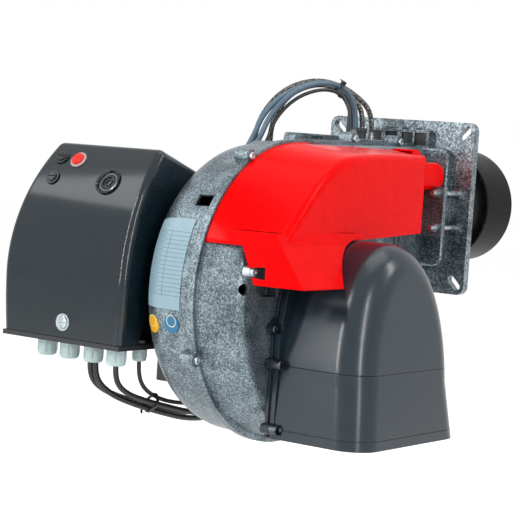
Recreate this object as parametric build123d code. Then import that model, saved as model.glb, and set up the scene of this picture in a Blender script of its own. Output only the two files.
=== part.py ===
from build123d import *
import math
import os

# Diesel burner with a side fan. Millimetres.
# The origin is the centre of the flange face that meets the boiler, on the blast tube's axis.
# +Y is the way the flame leaves, +X is the air intake side, +Z is up.

# running and assembly clearances
running_gap = 0.05
slip_gap = 0.3
free_gap = 1.0

# boiler flange and its raised boss
flange_side = 240.0
flange_thickness = 12.0
flange_corner = 12.0
slot_pitch = 208.0
slot_length = 24.0
slot_width = 11.0
boss_width = 178.0
boss_height = 166.0
boss_depth = 15.0
boss_corner = 14.0
throat_radius = 64.0
boss_face_y = -flange_thickness - boss_depth

# blast tube
sleeve_radius = 74.0
tube_wall = 3.0
sleeve_step = 6.0
flame_tube_radius = 82.7
flame_tube_start = 108.0
flame_tube_end = 181.0

# lid on the duct, and where each line ends above it: x, y, z and the line's radius
lid_height = 6.0
lid_line_ends = (
    (-27.0, -90.0, 100.0, 3.75),
    (-36.0, -87.0, 100.0, 3.75),
    (-22.0, -56.0, 98.0, 3.75),
    (-26.0, -74.0, 98.0, 3.75),
    (-18.0, -122.0, 94.0, 2.5),
)

# combustion head inside the tube
disc_y = 146.0
disc_radius = 62.0
disc_thickness = 2.0
disc_hole_radius = 32.0
nozzle_pitch = 26.0
nozzle_radius = 9.0
nozzle_length = 22.0
holder_width = 58.0
holder_height = 26.0
holder_length = 44.0
pipe_radius = 5.0
pipe_rear_y = -92.0
electrode_offset = 16.0
electrode_height = 24.0

# fan housing: two bowls that meet at the parting plane
fan_y = -314.0
fan_z = -115.0
housing_wall = 4.0
parting_x = 28.0
rim_radius = 190.0
left_face_x = -66.0
left_rim_radius = 185.0
right_face_x = 86.0
right_rim_radius = 172.0
left_round = 45.0
right_round = 16.0
lip_width = 5.0
lip_height = 5.0
neck_half_width = 54.0
neck_top_z = 82.0
neck_bottom_z = -82.0
neck_round = 12.0
neck_ramp_y = -395.0
neck_ramp_z = 30.0
neck_crest_y = -300.0
neck_crest_z = 76.0
inlet_radius = 86.0
inlet_throat = 78.0
pocket_floor_x = 70.0
pocket_edge_y = -455.0
pocket_edge_z = -113.0
pocket_round = 18.0
transformer_depth = 36.0
lug_radius = 9.0
lug_reach = rim_radius + 7
lug_depth = 5.0
lug_angles = (60.4, -23.6, -118.0, -160.0)
neck_lug_y = (-181.0, -66.0)
lid_plug_z = neck_top_z - 8

# red cover over the mechanism
cover_wall = 2.5
cover_inner_x = parting_x + lip_width + 0.5
cover_rim_radius = rim_radius + 1.5
cover_ridge_x = 131.0
cover_ridge_slope = 0.085
cover_front_y = -478.0
cover_cut_z = -50.0
cover_end_y = -100.0
cover_flare_x = 168.0
cover_flare_z = -96.0
cover_round = 12.0
tongue_z = (24.0, 62.0)
tongue_tip_y = -38.0
tongue_outer_x = 94.0

# air intake adapter and hood
adapter_thickness = 14.0
adapter_half_width = 121.0
adapter_top_z = -16.0
adapter_groove = 3.0
ear_y = -419.0
ear_z = -151.5
bolt_heights = (-195.0, -275.0)
bolt_y = -420.6
bolt_head_radius = 6.3
bolt_head_start = right_face_x + 11.5
bolt_head_length = 10.5
hood_y = -297.0
hood_inner_x = right_face_x + adapter_thickness
hood_wall = 3.0
hood_bottom_z = -287.0
hood_spring_z = -213.0
hood_top_z = -41.0
hood_arch_y = -303.0
hood_half_width = 111.0
hood_foot_half_width = 121.0
hood_outer_x = 227.0
hood_top_outer_x = 206.6
hood_round = 38.0
hood_seam_z = -196.0
hood_seam = 0.6
hood_rim_z = -274.0
hood_rim_step = 1.2

# air damper across the hood
damper_x = 160.0
damper_z = -228.0
damper_half_width = 54.0
damper_half_length = 94.0
damper_thickness = 2.0
damper_shaft_radius = 4.0
damper_bearing = 14.0
lever_radius = 22.0
lever_rest_angle = 142.5
lever_swing = 75.0
lever_pin_radius = 2.5
ram_radius = 11.0
ram_length = 52.0
ram_rod_radius = 4.0
ram_foot_z = -178.0

# fan, motor and pump on one axis
fan_left_x = -30.0
fan_width = 74.0
fan_radius = 138.0
fan_inner_radius = 112.0
fan_blades = 28
fan_hub_radius = 24.0
shaft_radius = 8.0
motor_radius = 70.0
motor_flange_radius = 84.0
motor_flange = 8.0
motor_length = 126.0
motor_bell = 16.0
motor_fins = 20
terminal_box_y = (fan_y - 66, fan_y - 8)
pump_bracket_length = 30.0
pump_width = 62.0
pump_length = 56.0
pump_outlet_x = -260.0
outlet_pitch = 32.0
hose_start_y = -262.0
coupling_radius = 16.0

# control box on the motor side
box_left_x = -273.0
box_right_x = -75.5
box_taper_left = 17.0
box_taper_right = 10.5
box_bow = 12.5
box_bottom_z = -190.0
box_top_z = 57.0
box_apex_y = -439.0
box_front_y = -512.5
box_front_radius = 251.0
box_straight_z = -120.0
box_back_radius = 151.5
box_back_angle = 71.9
box_waist_angle = 26.3
box_foot_y = -475.0
box_wall = 3.0
box_edge_round = 9.0
box_corner_round = 11.0
base_inset = 22.0
saddle_radius = 92.0
gland_plate = 6.0
spacer_radius = 11.0
reset_radius = 8.5
reset_travel = 3.0
reset_stand = reset_travel + 2.0
fuse_radius = 10.0
fuse_places = ((-237.0, 36.0), (-235.0, 9.8))
plug_radius = 18.0
plug_place = (-141.0, 10.5)
reset_place = (-207.5, 34.5)
lid_screw_place = (-170.0, -170.0)

# cable glands under the control box
gland_x = (-216.0, -177.5, -137.0, -99.0)
gland_y = -488.0
gland_radius = 13.0
gland_length = 22.0
small_gland_x = -91.5
small_gland_y = -452.0
small_gland_radius = 9.5
small_gland_length = 17.0


def at(shape, x=0.0, y=0.0, z=0.0):
    return Pos(x, y, z) * shape


def rod(radius, length, x, y, z, axis):
    """A cylinder that starts at the point and runs the length along X, Y or Z."""
    turn = {"X": Rot(0, 90, 0), "Y": Rot(-90, 0, 0), "Z": Rot(0, 0, 0)}[axis]
    body = Cylinder(radius, length, align=(Align.CENTER, Align.CENTER, Align.MIN))
    return Pos(x, y, z) * turn * body


def tube(radius, bore, length, x, y, z, axis):
    return rod(radius, length, x, y, z, axis) - rod(bore, length, x, y, z, axis)


def block(x0, x1, y0, y1, z0, z1):
    low = (Align.MIN, Align.MIN, Align.MIN)
    return Pos(x0, y0, z0) * Box(x1 - x0, y1 - y0, z1 - z0, align=low)


def yz_sheet(outline, x0, x1):
    """Extrude an outline given in (Y, Z) from x0 to x1."""
    plane = Plane(origin=(x0, 0, 0), x_dir=(0, 1, 0), z_dir=(1, 0, 0))
    return extrude(plane * outline, amount=x1 - x0)


def xz_sheet(outline, y0, y1):
    """Extrude an outline given in (X, Z) from y0 to y1."""
    plane = Plane(origin=(0, y0, 0), x_dir=(1, 0, 0), z_dir=(0, -1, 0))
    return extrude(plane * outline, amount=-(y1 - y0))


def turned(points, radii):
    """Turn a (x, radius) outline about the fan's axis, with its named corners rounded."""
    outline = make_face(Polyline(*points, close=True))
    for index, radius in radii:
        near = Vector(points[index][0], points[index][1], 0)
        corner = outline.vertices().sort_by_distance(near)[0]
        outline = fillet(corner, radius)
    body = revolve(outline, axis=Axis.X)
    return Pos(0, fan_y, fan_z) * body


def on_fan(radius, degrees):
    """(Y, Z) of a point around the fan's axis; 0 degrees looks away from the boiler, 90 is up."""
    a = math.radians(degrees)
    return fan_y - radius * math.cos(a), fan_z + radius * math.sin(a)


def drum(inset):
    """The bowl-shaped body of the fan housing, made smaller all round by the inset."""
    points = [
        (left_face_x + inset, 0),
        (left_face_x + inset, left_rim_radius - inset),
        (parting_x, rim_radius - inset),
        (right_face_x - inset, right_rim_radius - inset),
        (right_face_x - inset, 0),
    ]
    return turned(points, [(1, left_round - inset), (3, right_round - inset)])


def neck(inset, end_y):
    """The duct from the top of the drum to the boiler flange."""
    profile = Polyline(
        (neck_ramp_y + 2 * inset, neck_ramp_z - 3 * inset),
        (neck_crest_y, neck_crest_z - inset),
        (end_y, neck_top_z - inset),
        (end_y, neck_bottom_z + inset),
        (neck_crest_y, neck_bottom_z - 6 + inset),
        close=True,
    )
    width = neck_half_width - inset
    body = yz_sheet(make_face(profile), -width, width)
    edges = [e for e in body.edges() if e.length > 60 and abs(abs(e.center().X) - width) < 0.01]
    long_edges = [e for e in edges if e.center().Z > 40 or e.center().Z < neck_bottom_z + 20]
    return fillet(long_edges, neck_round - inset)


def pocket(grow):
    """The recess in the right bowl's side, above the intake, where the mechanism sits."""
    outline = make_face(
        Polyline(
            (pocket_edge_y - grow, pocket_edge_z - grow),
            (neck_ramp_y + 250, pocket_edge_z - grow),
            (neck_ramp_y + 250, neck_top_z - 28 + grow),
            (pocket_edge_y - grow, neck_top_z - 28 + grow),
            close=True,
        )
    )
    cut = yz_sheet(outline, pocket_floor_x - grow, right_face_x + 20)
    corner = Vector(right_face_x, pocket_edge_y, pocket_edge_z)
    edge = cut.edges().filter_by(Axis.X).sort_by_distance(corner)[0]
    cut = fillet(edge, pocket_round + grow)
    return cut - rod(inlet_radius + 12 - grow, 60, pocket_floor_x - 30, fan_y, fan_z, "X")


def housing_body(inset):
    end = boss_face_y if inset <= 0 else boss_face_y + 5
    body = drum(inset) + neck(inset, end)
    return body - pocket(inset)


def lip_outline(reach):
    circle = Pos(fan_y, fan_z) * Circle(rim_radius + reach)
    duct = make_face(
        Polyline(
            (neck_crest_y - 10, neck_crest_z + reach),
            (boss_face_y, neck_top_z + reach),
            (boss_face_y, neck_bottom_z - reach),
            (neck_crest_y, neck_bottom_z - reach),
            close=True,
        )
    )
    return circle + duct


def lip(x0, x1):
    return yz_sheet(lip_outline(lip_height), x0, x1) - yz_sheet(lip_outline(-housing_wall), x0, x1)


def lug_places():
    places = [on_fan(lug_reach, a) for a in lug_angles]
    places += [(y, neck_top_z + 4.7) for y in neck_lug_y]
    places += [(neck_lug_y[1] - 20, neck_bottom_z - 9)]
    return places


def lugs(x0, x1):
    """Screw lugs around the lip, each a round boss on a web that runs into the rim."""
    bosses = []
    for y, z in lug_places():
        boss = rod(lug_radius, x1 - x0, x0, y, z, "X")
        out = math.atan2(z - fan_z, y - fan_y) if y < neck_crest_y else math.copysign(math.pi / 2, z)
        sink = 15 if y < neck_crest_y else 6
        web = Box(x1 - x0, sink, 2 * lug_radius, align=(Align.MIN, Align.MAX, Align.CENTER))
        boss += Pos(x0, y, z) * Rot(math.degrees(out), 0, 0) * web
        bosses.append(boss)
    return bosses


def lug_holes(x0, x1, radius):
    return [rod(radius, x1 - x0, x0, y, z, "X") for y, z in lug_places()]


def left_housing():
    cavity = housing_body(housing_wall)
    side = block(left_face_x - 60, parting_x, -700, 40, -400, 200)
    shell = (housing_body(0) & side) + lip(parting_x - lip_width, parting_x)
    for boss in lugs(parting_x - 15, parting_x):
        shell += boss
    # ribs on the outside of the motor side
    for n in range(8):
        a = 22.5 + 45 * n
        y0, z0 = on_fan(motor_flange_radius + 4, a)
        y1, z1 = on_fan(left_rim_radius - left_round, a)
        mid_y, mid_z = (y0 + y1) / 2, (z0 + z1) / 2
        length = left_rim_radius - left_round - motor_flange_radius - 4
        rib = Box(4, length, 4)
        shell += Pos(left_face_x - 1, mid_y, mid_z) * Rot(-a, 0, 0) * rib
    shell -= cavity & side
    shell -= rod(inlet_throat - 6, 40, left_face_x - 10, fan_y, fan_z, "X")
    # inspection window in the rim
    y, z = on_fan(rim_radius - 8, 37)
    shell -= Pos(7, y, z) * Rot(-37, 0, 0) * Box(24, 40, 17)
    # raised rail on top of the duct
    rail = block(-26, -8, -262, -150, neck_crest_z - 4, neck_top_z + 8)
    rail = fillet(rail.edges().filter_by(Axis.X).sort_by(Axis.Z)[-2:], 7)
    rail -= block(-14, -7, -222, -196, neck_top_z, neck_top_z + 5)
    shell += rail
    # opening for the head's lines, closed by the head cover
    shell -= block(-34, 8, -128, -62, neck_top_z - 12, neck_top_z + 4)
    for hole in lug_holes(parting_x - 18, parting_x, 2.5):
        shell -= hole
    for n in range(4):
        y, z = on_fan(motor_flange_radius - 6, 45 + 90 * n)
        shell -= rod(2.5, 12, left_face_x - 2, y, z, "X")
    return shell


def right_housing():
    side = block(parting_x, right_face_x + 30, -700, 40, -400, 200)
    shell = (housing_body(0) & side) + lip(parting_x, parting_x + lip_width)
    for boss in lugs(parting_x, parting_x + lug_depth):
        shell += boss
    shell -= housing_body(housing_wall) & side
    # round seat of the intake, with a rolled throat towards the fan
    seat = rod(inlet_radius + 8, 26, right_face_x - 26, fan_y, fan_z, "X")
    shell += seat - rod(inlet_radius + 4, 40, right_face_x - 44, fan_y, fan_z, "X")
    throat = turned(
        [
            (right_face_x - housing_wall, inlet_radius + 7),
            (right_face_x - housing_wall, inlet_radius),
            (right_face_x - 34, inlet_throat),
            (right_face_x - 34, inlet_throat + 3),
            (right_face_x - 10, inlet_radius + 4),
            (right_face_x - 8, inlet_radius + 7),
        ],
        [],
    )
    shell += throat
    shell -= rod(inlet_radius, housing_wall + 2, right_face_x - housing_wall - 1, fan_y, fan_z, "X")
    # round blind hole in the side
    shell -= rod(7, 20, right_face_x - 12, -478, -103, "X")
    # ribs down the duct's side
    low, high = neck_bottom_z + 14, tongue_z[0] + 4
    for y in (-96.0, -84.0, -46.0):
        shell += block(neck_half_width - 2, neck_half_width + 3, y - 2, y + 2, low, high)
    # clamp ears for the two flange studs
    shell += block(neck_half_width - 3, 112, -70, -62, -38, tongue_z[0] - 2)
    shell += block(tongue_outer_x + 1, 112, -70, -62, 0, 29.5)
    shell += block(neck_half_width - 3, 96, -64, -58, -8, 3)
    for z in stud_heights():
        shell -= rod(4.2, 20, 102.5, -76, z, "Y")
    for hole in lug_holes(parting_x - 1, parting_x + lug_depth + 2, 3.0):
        shell -= hole
    return shell


def stud_heights():
    return (21.0, -26.5)


def housing_screws():
    """Pan-head screws that draw the two bowls together."""
    screws = []
    seat = parting_x + lug_depth
    for y, z in lug_places():
        head = rod(5.2, 3.6, seat, y, z, "X")
        head = fillet(head.edges().sort_by(Axis.X)[-1], 1.6)
        head -= rod(2.4, 3, seat + 2.2, y, z, "X")
        screws.append(head + rod(2.45, lug_depth + 15, seat - lug_depth - 15, y, z, "X"))
    return screws


def boiler_flange():
    outline = RectangleRounded(flange_side, flange_side, flange_corner)
    plate = xz_sheet(outline, -flange_thickness, 0)
    boss = xz_sheet(RectangleRounded(boss_width, boss_height, boss_corner), boss_face_y, -flange_thickness)
    rear = boss.faces().sort_by(Axis.Y)[0]
    boss = fillet(rear.edges(), 4)
    plate += boss
    plate -= rod(sleeve_radius + slip_gap, 30, 0, boss_face_y + sleeve_step, 0, "Y")
    plate -= rod(throat_radius, 40, 0, boss_face_y - 5, 0, "Y")
    half = slot_pitch / 2
    for sx in (-1, 1):
        for sz in (-1, 1):
            slot = Rot(0, 0, 45 * sx * sz) * SlotOverall(slot_length, slot_width)
            plate -= xz_sheet(Pos(sx * half, sz * half) * slot, -flange_thickness - 1, 1)
    # ribbed frame above the boss that holds the line grommets
    top = boss_height / 2
    frame = block(-48, 54, boss_face_y + 3, -flange_thickness, top - 3, top + 23)
    for x0 in (-44, -18, 8, 30):
        frame -= block(x0, x0 + 19, boss_face_y, -flange_thickness - 4, top + 2, top + 19)
    plate += frame
    for x in (-20.0, 6.0, 28.0):
        plate += block(x - 4, x + 4, boss_face_y + 1, -flange_thickness, top + 21, top + 26)
    for z in stud_heights():
        plate -= rod(3.4, flange_thickness - 2, 102.5, -flange_thickness - 1, z, "Y")
    return plate


def line_grommets():
    """Rubber blocks that fill the ribbed frame above the boss."""
    top = boss_height / 2
    blocks = []
    for x0 in (-44, -18, 8, 30):
        x1 = x0 + 19
        y0, y1 = boss_face_y + 6, -flange_thickness - 4
        piece = block(x0 + slip_gap, x1 - slip_gap, y0, y1, top + 2 + slip_gap, top + 19 - slip_gap)
        piece = fillet(piece.edges().filter_by(Axis.Z), 1.5)
        blocks.append(piece)
    return blocks


def flange_studs():
    """Two studs in the flange, each with a lock nut, a washer and a clamping nut."""
    pieces = []
    for z in stud_heights():
        x = 102.5
        stud = rod(3.3, 76, x, -86, z, "Y") + rod(4.0, 58, x, -80, z, "Y")
        stud += hexagon(7.5, 6.5, x, -flange_thickness - 6.5, z)
        stud += rod(7.5, 1.6, x, -61.9, z, "Y")
        stud += hexagon(6.5, 5.5, x, -60.3, z)
        stud += hexagon(6.5, 6.5, x, -76.6, z)
        pieces.append(stud)
    return pieces


def hexagon(radius, length, x, y, z):
    """A nut-shaped prism that starts at y and runs along +Y."""
    return Pos(x, 0, z) * xz_sheet(RegularPolygon(radius, 6), y, y + length)


def blast_tube():
    """Sleeve through the flange, swelling to the wide flame tube at its end."""
    rear = boss_face_y + sleeve_step
    points = [
        (rear, throat_radius + 2),
        (rear, sleeve_radius),
        (flame_tube_start, sleeve_radius),
        (flame_tube_start, flame_tube_radius),
        (flame_tube_end, flame_tube_radius),
        (flame_tube_end, flame_tube_radius - tube_wall),
        (flame_tube_start + tube_wall, flame_tube_radius - tube_wall),
        (flame_tube_start + tube_wall, sleeve_radius - tube_wall),
        (rear + tube_wall, sleeve_radius - tube_wall),
        (rear + tube_wall, throat_radius + 2),
    ]
    outline = make_face(Polyline(*points, close=True))
    corner = outline.vertices().sort_by_distance(Vector(flame_tube_start, flame_tube_radius, 0))[0]
    outline = fillet(corner, 2.4)
    body = revolve(outline, axis=Axis.X)
    return Rot(0, 0, 90) * body


def head_disc():
    """Slotted swirl disc that holds the flame."""
    disc = rod(disc_radius, disc_thickness, 0, disc_y, 0, "Y")
    disc -= rod(disc_hole_radius, disc_thickness + 2, 0, disc_y - 1, 0, "Y")
    for n in range(12):
        slot = Pos(46, 0) * Rot(0, 0, 18) * SlotOverall(22, 3)
        slot = xz_sheet(slot, disc_y - 1, disc_y + disc_thickness + 1)
        disc -= Rot(0, 30 * n, 0) * slot
    rim = tube(disc_radius, disc_radius - 1.5, 10, 0, disc_y - 8, 0, "Y")
    for n in range(3):
        arm = block(disc_radius - 2, sleeve_radius - tube_wall - slip_gap, disc_y - 46, disc_y - 2, -2, 2)
        rim += Rot(0, 90 + 120 * n, 0) * arm
    return disc + rim


def nozzle_holder():
    """Block that carries both nozzles, fed by two pipes from the duct's lid."""
    front = disc_y - nozzle_length - 4
    low = (-holder_width / 2, front - holder_length, -holder_height / 2)
    holder = block(low[0], -low[0], low[1], front, low[2], -low[2])
    holder = fillet(holder.edges().filter_by(Axis.Y), 6)
    riser_x = [x - nozzle_pitch / 2 for x in (-nozzle_pitch / 2, nozzle_pitch / 2)]
    for side in (-1, 1):
        x = side * nozzle_pitch / 2
        holder += rod(pipe_radius, front - holder_length - pipe_rear_y, x, pipe_rear_y, 0, "Y")
    holder += block(riser_x[0] - 6, nozzle_pitch / 2 + 6, pipe_rear_y - 7, pipe_rear_y + 7, -7, 7)
    for x in riser_x:
        holder += rod(pipe_radius, lid_plug_z - slip_gap, x, pipe_rear_y, 0, "Z")
    reach = sleeve_radius - tube_wall - slip_gap
    for turn in (0, 180):
        holder += Rot(0, turn, 0) * block(holder_width / 2 - 2, reach, front - 30, front - 22, -2, 2)
    return holder


def nozzles():
    pieces = []
    for x in (-nozzle_pitch / 2, nozzle_pitch / 2):
        y = disc_y - nozzle_length - 4
        nozzle = hexagon(nozzle_radius, 8, x, y, 0) + rod(7, 16, x, y, 0, "Y")
        tip = Cone(7, 3.5, 6, align=(Align.CENTER, Align.CENTER, Align.MIN))
        tip = Pos(x, y + 16, 0) * Rot(-90, 0, 0) * tip
        pieces.append(nozzle + tip - rod(1, 8, x, y + 16, 0, "Y"))
    return pieces


def electrodes():
    """Two ceramic igniters above the nozzles, with bent wire tips."""
    pieces = []
    for side in (-1, 1):
        x = side * electrode_offset
        body = rod(5, 62, x, disc_y - 76, electrode_height, "Y")
        wire = rod(1.2, 24, x, disc_y - 14, electrode_height, "Y")
        path = Line((x, disc_y + 9, electrode_height), (side * 3, disc_y + 16, 12))
        tip = sweep(Plane(path @ 0, z_dir=path % 0) * Circle(1.2), path)
        pieces.append(body + wire + tip)
    return pieces


def electrode_clamp():
    y = disc_y - nozzle_length - 4 - 30
    half = electrode_offset + 9
    body = block(-half, half, y, y + 12, holder_height / 2 + slip_gap, electrode_height + 8)
    for side in (-1, 1):
        body -= rod(5 + slip_gap, 14, side * electrode_offset, y - 1, electrode_height, "Y")
    return body


def head_cover():
    """Lid over the opening in the duct's top; the oil lines and leads enter through it."""
    lid = block(-45, 11, -137, -44, neck_crest_z, neck_top_z + lid_height)
    lid = fillet(lid.edges().filter_by(Axis.Z), 5)
    lid = fillet(lid.faces().sort_by(Axis.Z)[-1].edges(), 1.5)
    lid -= neck(0, boss_face_y)
    return lid + block(-33.5, 7.5, -127.5, -62.5, lid_plug_z, neck_top_z + 2)


def lid_fittings():
    """Ferrules on the lid, one for each line, each ending where its line starts."""
    pieces = []
    top = neck_top_z + lid_height
    for x, y, z, radius in lid_line_ends:
        body = rod(radius + 2.6, z - top - 5, x, y, top, "Z") + rod(radius + 1.2, z - top, x, y, top, "Z")
        pieces.append(body)
    return pieces


def pressure_tap():
    """Capped test point that stands beside the parting lip."""
    base = neck_top_z + lid_height
    body = rod(6.5, 10, -2, -112, base, "Z") + rod(8, 5, -2, -112, base + 10, "Z")
    return fillet(body.edges().sort_by(Axis.Z)[-1], 1.5)


def cover_curve(points):
    return Spline(*[Vector(*p) for p in points])


def red_cover_form(inset):
    """Outer form of the red cover, or its hollow when an inset is given."""
    rim = cover_rim_radius - inset
    end = cover_end_y - inset
    top = neck_top_z - 4 - inset
    x0 = cover_inner_x - (2 if inset else 0)
    low = cover_cut_z - (6 if inset else 0)
    rise = inset * 0.9

    def ridge(y, z):
        return cover_ridge_x - inset - cover_ridge_slope * (y + 440), y, z

    # the edge along the housing's lip follows the rim, then runs level along the duct
    inner_path = [(x0, *on_fan(rim, angle)) for angle in (21.5, 35.0, 50.0, 66.0, 84.0)]
    inner_path += [(x0, -270, top), (x0, -190, top), (x0, end, top)]
    front = cover_front_y + inset
    outer_path = [
        ridge(front, cover_cut_z + 3),
        ridge(-448 + inset, -22),
        ridge(-410 + rise, 12 - rise),
        ridge(-375 + rise, 38 - rise),
        ridge(-330, 58 - inset),
        ridge(-260, 67 - inset),
        ridge(-180, 70 - inset),
        ridge(end, 70 - inset),
    ]
    inner_start, outer_start = inner_path[0], outer_path[0]
    inner = [
        cover_curve(inner_path),
        Line((x0, end, top), (x0, end, low + 16)),
        Line((x0, end, low + 16), (x0, inner_start[1], low)),
        Line((x0, inner_start[1], low), inner_start),
    ]
    outer = [
        cover_curve(outer_path),
        Line(outer_path[-1], ridge(end, low + 16)),
        Line(ridge(end, low + 16), ridge(front, low)),
        Line(ridge(front, low), outer_start),
    ]
    body = Solid.make_loft([Wire(inner), Wire(outer)], ruled=True)
    middles = [(e, e.center()) for e in body.edges()]
    crease = [e for e, c in middles if c.X > 95 and c.Z > -1 and (e.length > 150 or c.Y > cover_end_y - 5)]
    body = fillet(crease, cover_round - inset)
    body += cover_flare(inset)
    body += cover_nose(inset)
    return body


def cover_flare(inset):
    """The part that spreads outwards below the ridge and comes down on the hood."""
    low = cover_flare_z - (20 if inset else 0)
    reach = (20 if inset else 0) * (cover_flare_x - cover_ridge_x) / (cover_cut_z - cover_flare_z)
    outline = make_face(
        Polyline(
            (64 + inset, cover_cut_z + 18),
            (cover_ridge_x - 4 - inset, cover_cut_z + 18),
            (cover_ridge_x + 3 - inset, cover_cut_z + 3),
            (cover_flare_x + reach - inset, low),
            (102 + inset, low),
            (84 + inset, cover_cut_z),
            (64 + inset, cover_cut_z),
            close=True,
        )
    )
    body = xz_sheet(outline, cover_front_y - 14, hood_y + 2)
    slope = 0.16
    near = cover_front_y + inset + slope * (50 - cover_ridge_x)
    far = cover_front_y + inset + slope * 80
    x0, x1 = 50, cover_ridge_x + 80
    cut = Polyline((x0, near), (x1, far), (x1, near - 60), (x0, near - 60), close=True)
    return body - at(extrude(make_face(cut), amount=200), z=cover_flare_z - 60)


def cover_nose(inset):
    """The round nose over the clamp's upper stud, and the slope down to it."""
    low, high = tongue_z[0] + inset, tongue_z[1] - inset
    mid = (low + high) / 2
    radius = (high - low) / 2
    tip = tongue_tip_y - inset
    outline = make_face(
        [
            Line((-150, high), (tip - radius, high)),
            ThreePointArc((tip - radius, high), (tip, mid), (tip - radius, low)),
            Line((tip - radius, low), (-150, low)),
            Line((-150, low), (-150, high)),
        ]
    )
    inner_x = neck_half_width + 4 - (2 if inset else 0)
    body = yz_sheet(outline, inner_x, tongue_outer_x - inset)
    outer = body.faces().sort_by(Axis.X)[-1]
    rounded = [e for e in outer.edges() if e.center().Y > -149]
    body = fillet(rounded, 8 - inset)
    slope = make_face(
        Polyline(
            (-112, neck_top_z - 4 - inset),
            (-100 - inset, neck_top_z - 4 - inset),
            (-74 - inset, high - 3),
            (-74 - inset, low + 8),
            (-112, low + 8),
            close=True,
        )
    )
    return body + yz_sheet(slope, cover_inner_x - (2 if inset else 0), 84 - inset)


def hood_form(inset, x0, bottom):
    """The arched air hood: an arch seen along X, cut to a leaning outer side, with one big round."""
    half = hood_half_width - inset
    top = hood_top_z - inset
    springs, feet = [], []
    for side in (-1, 1):
        spring_y = hood_arch_y + side * half
        foot_y = hood_y + side * (hood_foot_half_width - inset)
        slope = (foot_y - spring_y) / (hood_spring_z - hood_bottom_z)
        springs.append((spring_y, hood_spring_z))
        feet.append((spring_y + slope * (hood_spring_z - bottom), bottom))
    centre = (hood_arch_y, hood_spring_z)
    arch = make_face(
        [
            Line(feet[0], springs[0]),
            EllipticalCenterArc(centre, half, top - hood_spring_z, start_angle=0, arc_size=180),
            Line(springs[1], feet[1]),
            Line(feet[1], feet[0]),
        ]
    )
    body = yz_sheet(arch, x0, hood_outer_x + 30)
    lean = (hood_outer_x - hood_top_outer_x) / (hood_top_z - hood_bottom_z)
    outer_low = hood_outer_x - inset - lean * (bottom - hood_bottom_z)
    outer_top = hood_outer_x - inset - lean * (0 - hood_bottom_z)
    beyond = outer_low + 80
    cut = Polyline((outer_low, bottom), (outer_top, 0), (beyond, 0), (beyond, bottom), close=True)
    body -= xz_sheet(make_face(cut), hood_y - 200, hood_y + 200)
    edges = [e for e in body.edges() if e.center().X > damper_x + 20 and e.bounding_box().min.Z > bottom - 1]
    edges = [e for e in edges if e.bounding_box().max.Z > bottom + 5]
    return fillet(edges, hood_round - inset)


def intake_adapter():
    """Frame between the right bowl and the hood, with a round hole onto the fan's inlet."""
    plate = yz_sheet(adapter_outline(0), right_face_x, hood_inner_x)
    hole = rod(inlet_radius, adapter_thickness + 2, right_face_x - 1, fan_y, fan_z, "X")
    plate -= hole & hood_form(hood_wall + 4, right_face_x - 5, hood_bottom_z)
    # hollow back below and above the hole
    back = fan_z - inlet_radius - 12
    half = adapter_half_width - 26
    for z0, z1 in ((hood_bottom_z - 5, back), (adapter_top_z - 14, adapter_top_z - 5)):
        plate -= block(right_face_x + 4, hood_inner_x + 1, hood_y - half, hood_y + half, z0, z1)
    # groove round the edge, which leaves a flange and a bead
    ring = adapter_outline(0) - adapter_outline(adapter_groove)
    plate -= yz_sheet(ring, right_face_x + 4, right_face_x + 8)
    # pointed ear with a screw, and a boss for each bolt
    ear = Polyline(
        (ear_y + 16, ear_z + 19),
        (ear_y - 6, ear_z + 6),
        (ear_y - 11, ear_z),
        (ear_y - 6, ear_z - 6),
        (ear_y + 16, ear_z - 19),
        close=True,
    )
    plate += yz_sheet(make_face(ear), right_face_x, right_face_x + 5)
    plate -= rod(bolt_head_radius, 20, right_face_x + 5, ear_y, ear_z, "X")
    for z in bolt_heights:
        plate += rod(bolt_head_radius + 0.7, bolt_head_start - right_face_x, right_face_x, bolt_y, z, "X")
    return plate - bolt_spaces(0)


def adapter_outline(inset):
    """Outline of the adapter's edge in (Y, Z), drawn in by the inset."""
    half = adapter_half_width - inset
    top = adapter_top_z - inset
    points = [(half, hood_bottom_z), (half, -160), (103 - inset, -75), (66, top)]
    mirrored = [(-y, z) for y, z in reversed(points)]
    outline = make_face(Polyline(*[(hood_y + y, z) for y, z in points + mirrored], close=True))
    return fillet([v for v in outline.vertices() if v.Y > hood_bottom_z + 5], 30)


def bolt_spaces(gap):
    """Room for the heads of the hood's bolts, wider by the gap, and for their shanks."""
    spaces = []
    for z in bolt_heights:
        head = rod(bolt_head_radius + gap, bolt_head_length + 3, bolt_head_start, bolt_y, z, "X")
        shank = rod(2.6, 10, bolt_head_start - 9, bolt_y, z, "X")
        spaces.append(head + shank)
    return spaces[0] + spaces[1]


def hood_shell(z0, z1):
    outer = hood_form(0, hood_inner_x, hood_bottom_z)
    hollow = hood_form(hood_wall, hood_inner_x - 5, hood_bottom_z - 10)
    shell = outer - hollow
    return (shell & block(0, 400, -600, 0, z0, z1)) - bolt_spaces(slip_gap)


def intake_hood():
    shell = hood_shell(hood_seam_z + hood_seam / 2, 0)
    return shell


def intake_skirt():
    """Lower part of the hood: a rim step all round, a bearing boss inside and a bore on the far side."""
    shell = hood_shell(hood_bottom_z - 1, hood_seam_z - hood_seam / 2)
    band = hood_form(0, hood_inner_x - 5, hood_bottom_z)
    band -= hood_form(hood_rim_step, hood_inner_x - 8, hood_bottom_z - 10)
    shell -= band & block(0, 400, -600, 0, hood_rim_z - 1.2, hood_rim_z)
    inner_y = hood_arch_y - hood_half_width + hood_wall
    shell += rod(9, damper_bearing, damper_x, inner_y - 2, damper_z, "Y")
    bore = damper_shaft_radius + running_gap
    shell -= rod(bore, damper_bearing, damper_x, damper_shaft_start() - slip_gap, damper_z, "Y")
    return shell - rod(bore, 40, damper_x, hood_arch_y + hood_half_width - 15, damper_z, "Y")


def damper_shaft_start():
    return hood_arch_y - hood_half_width + hood_wall + 2


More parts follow.
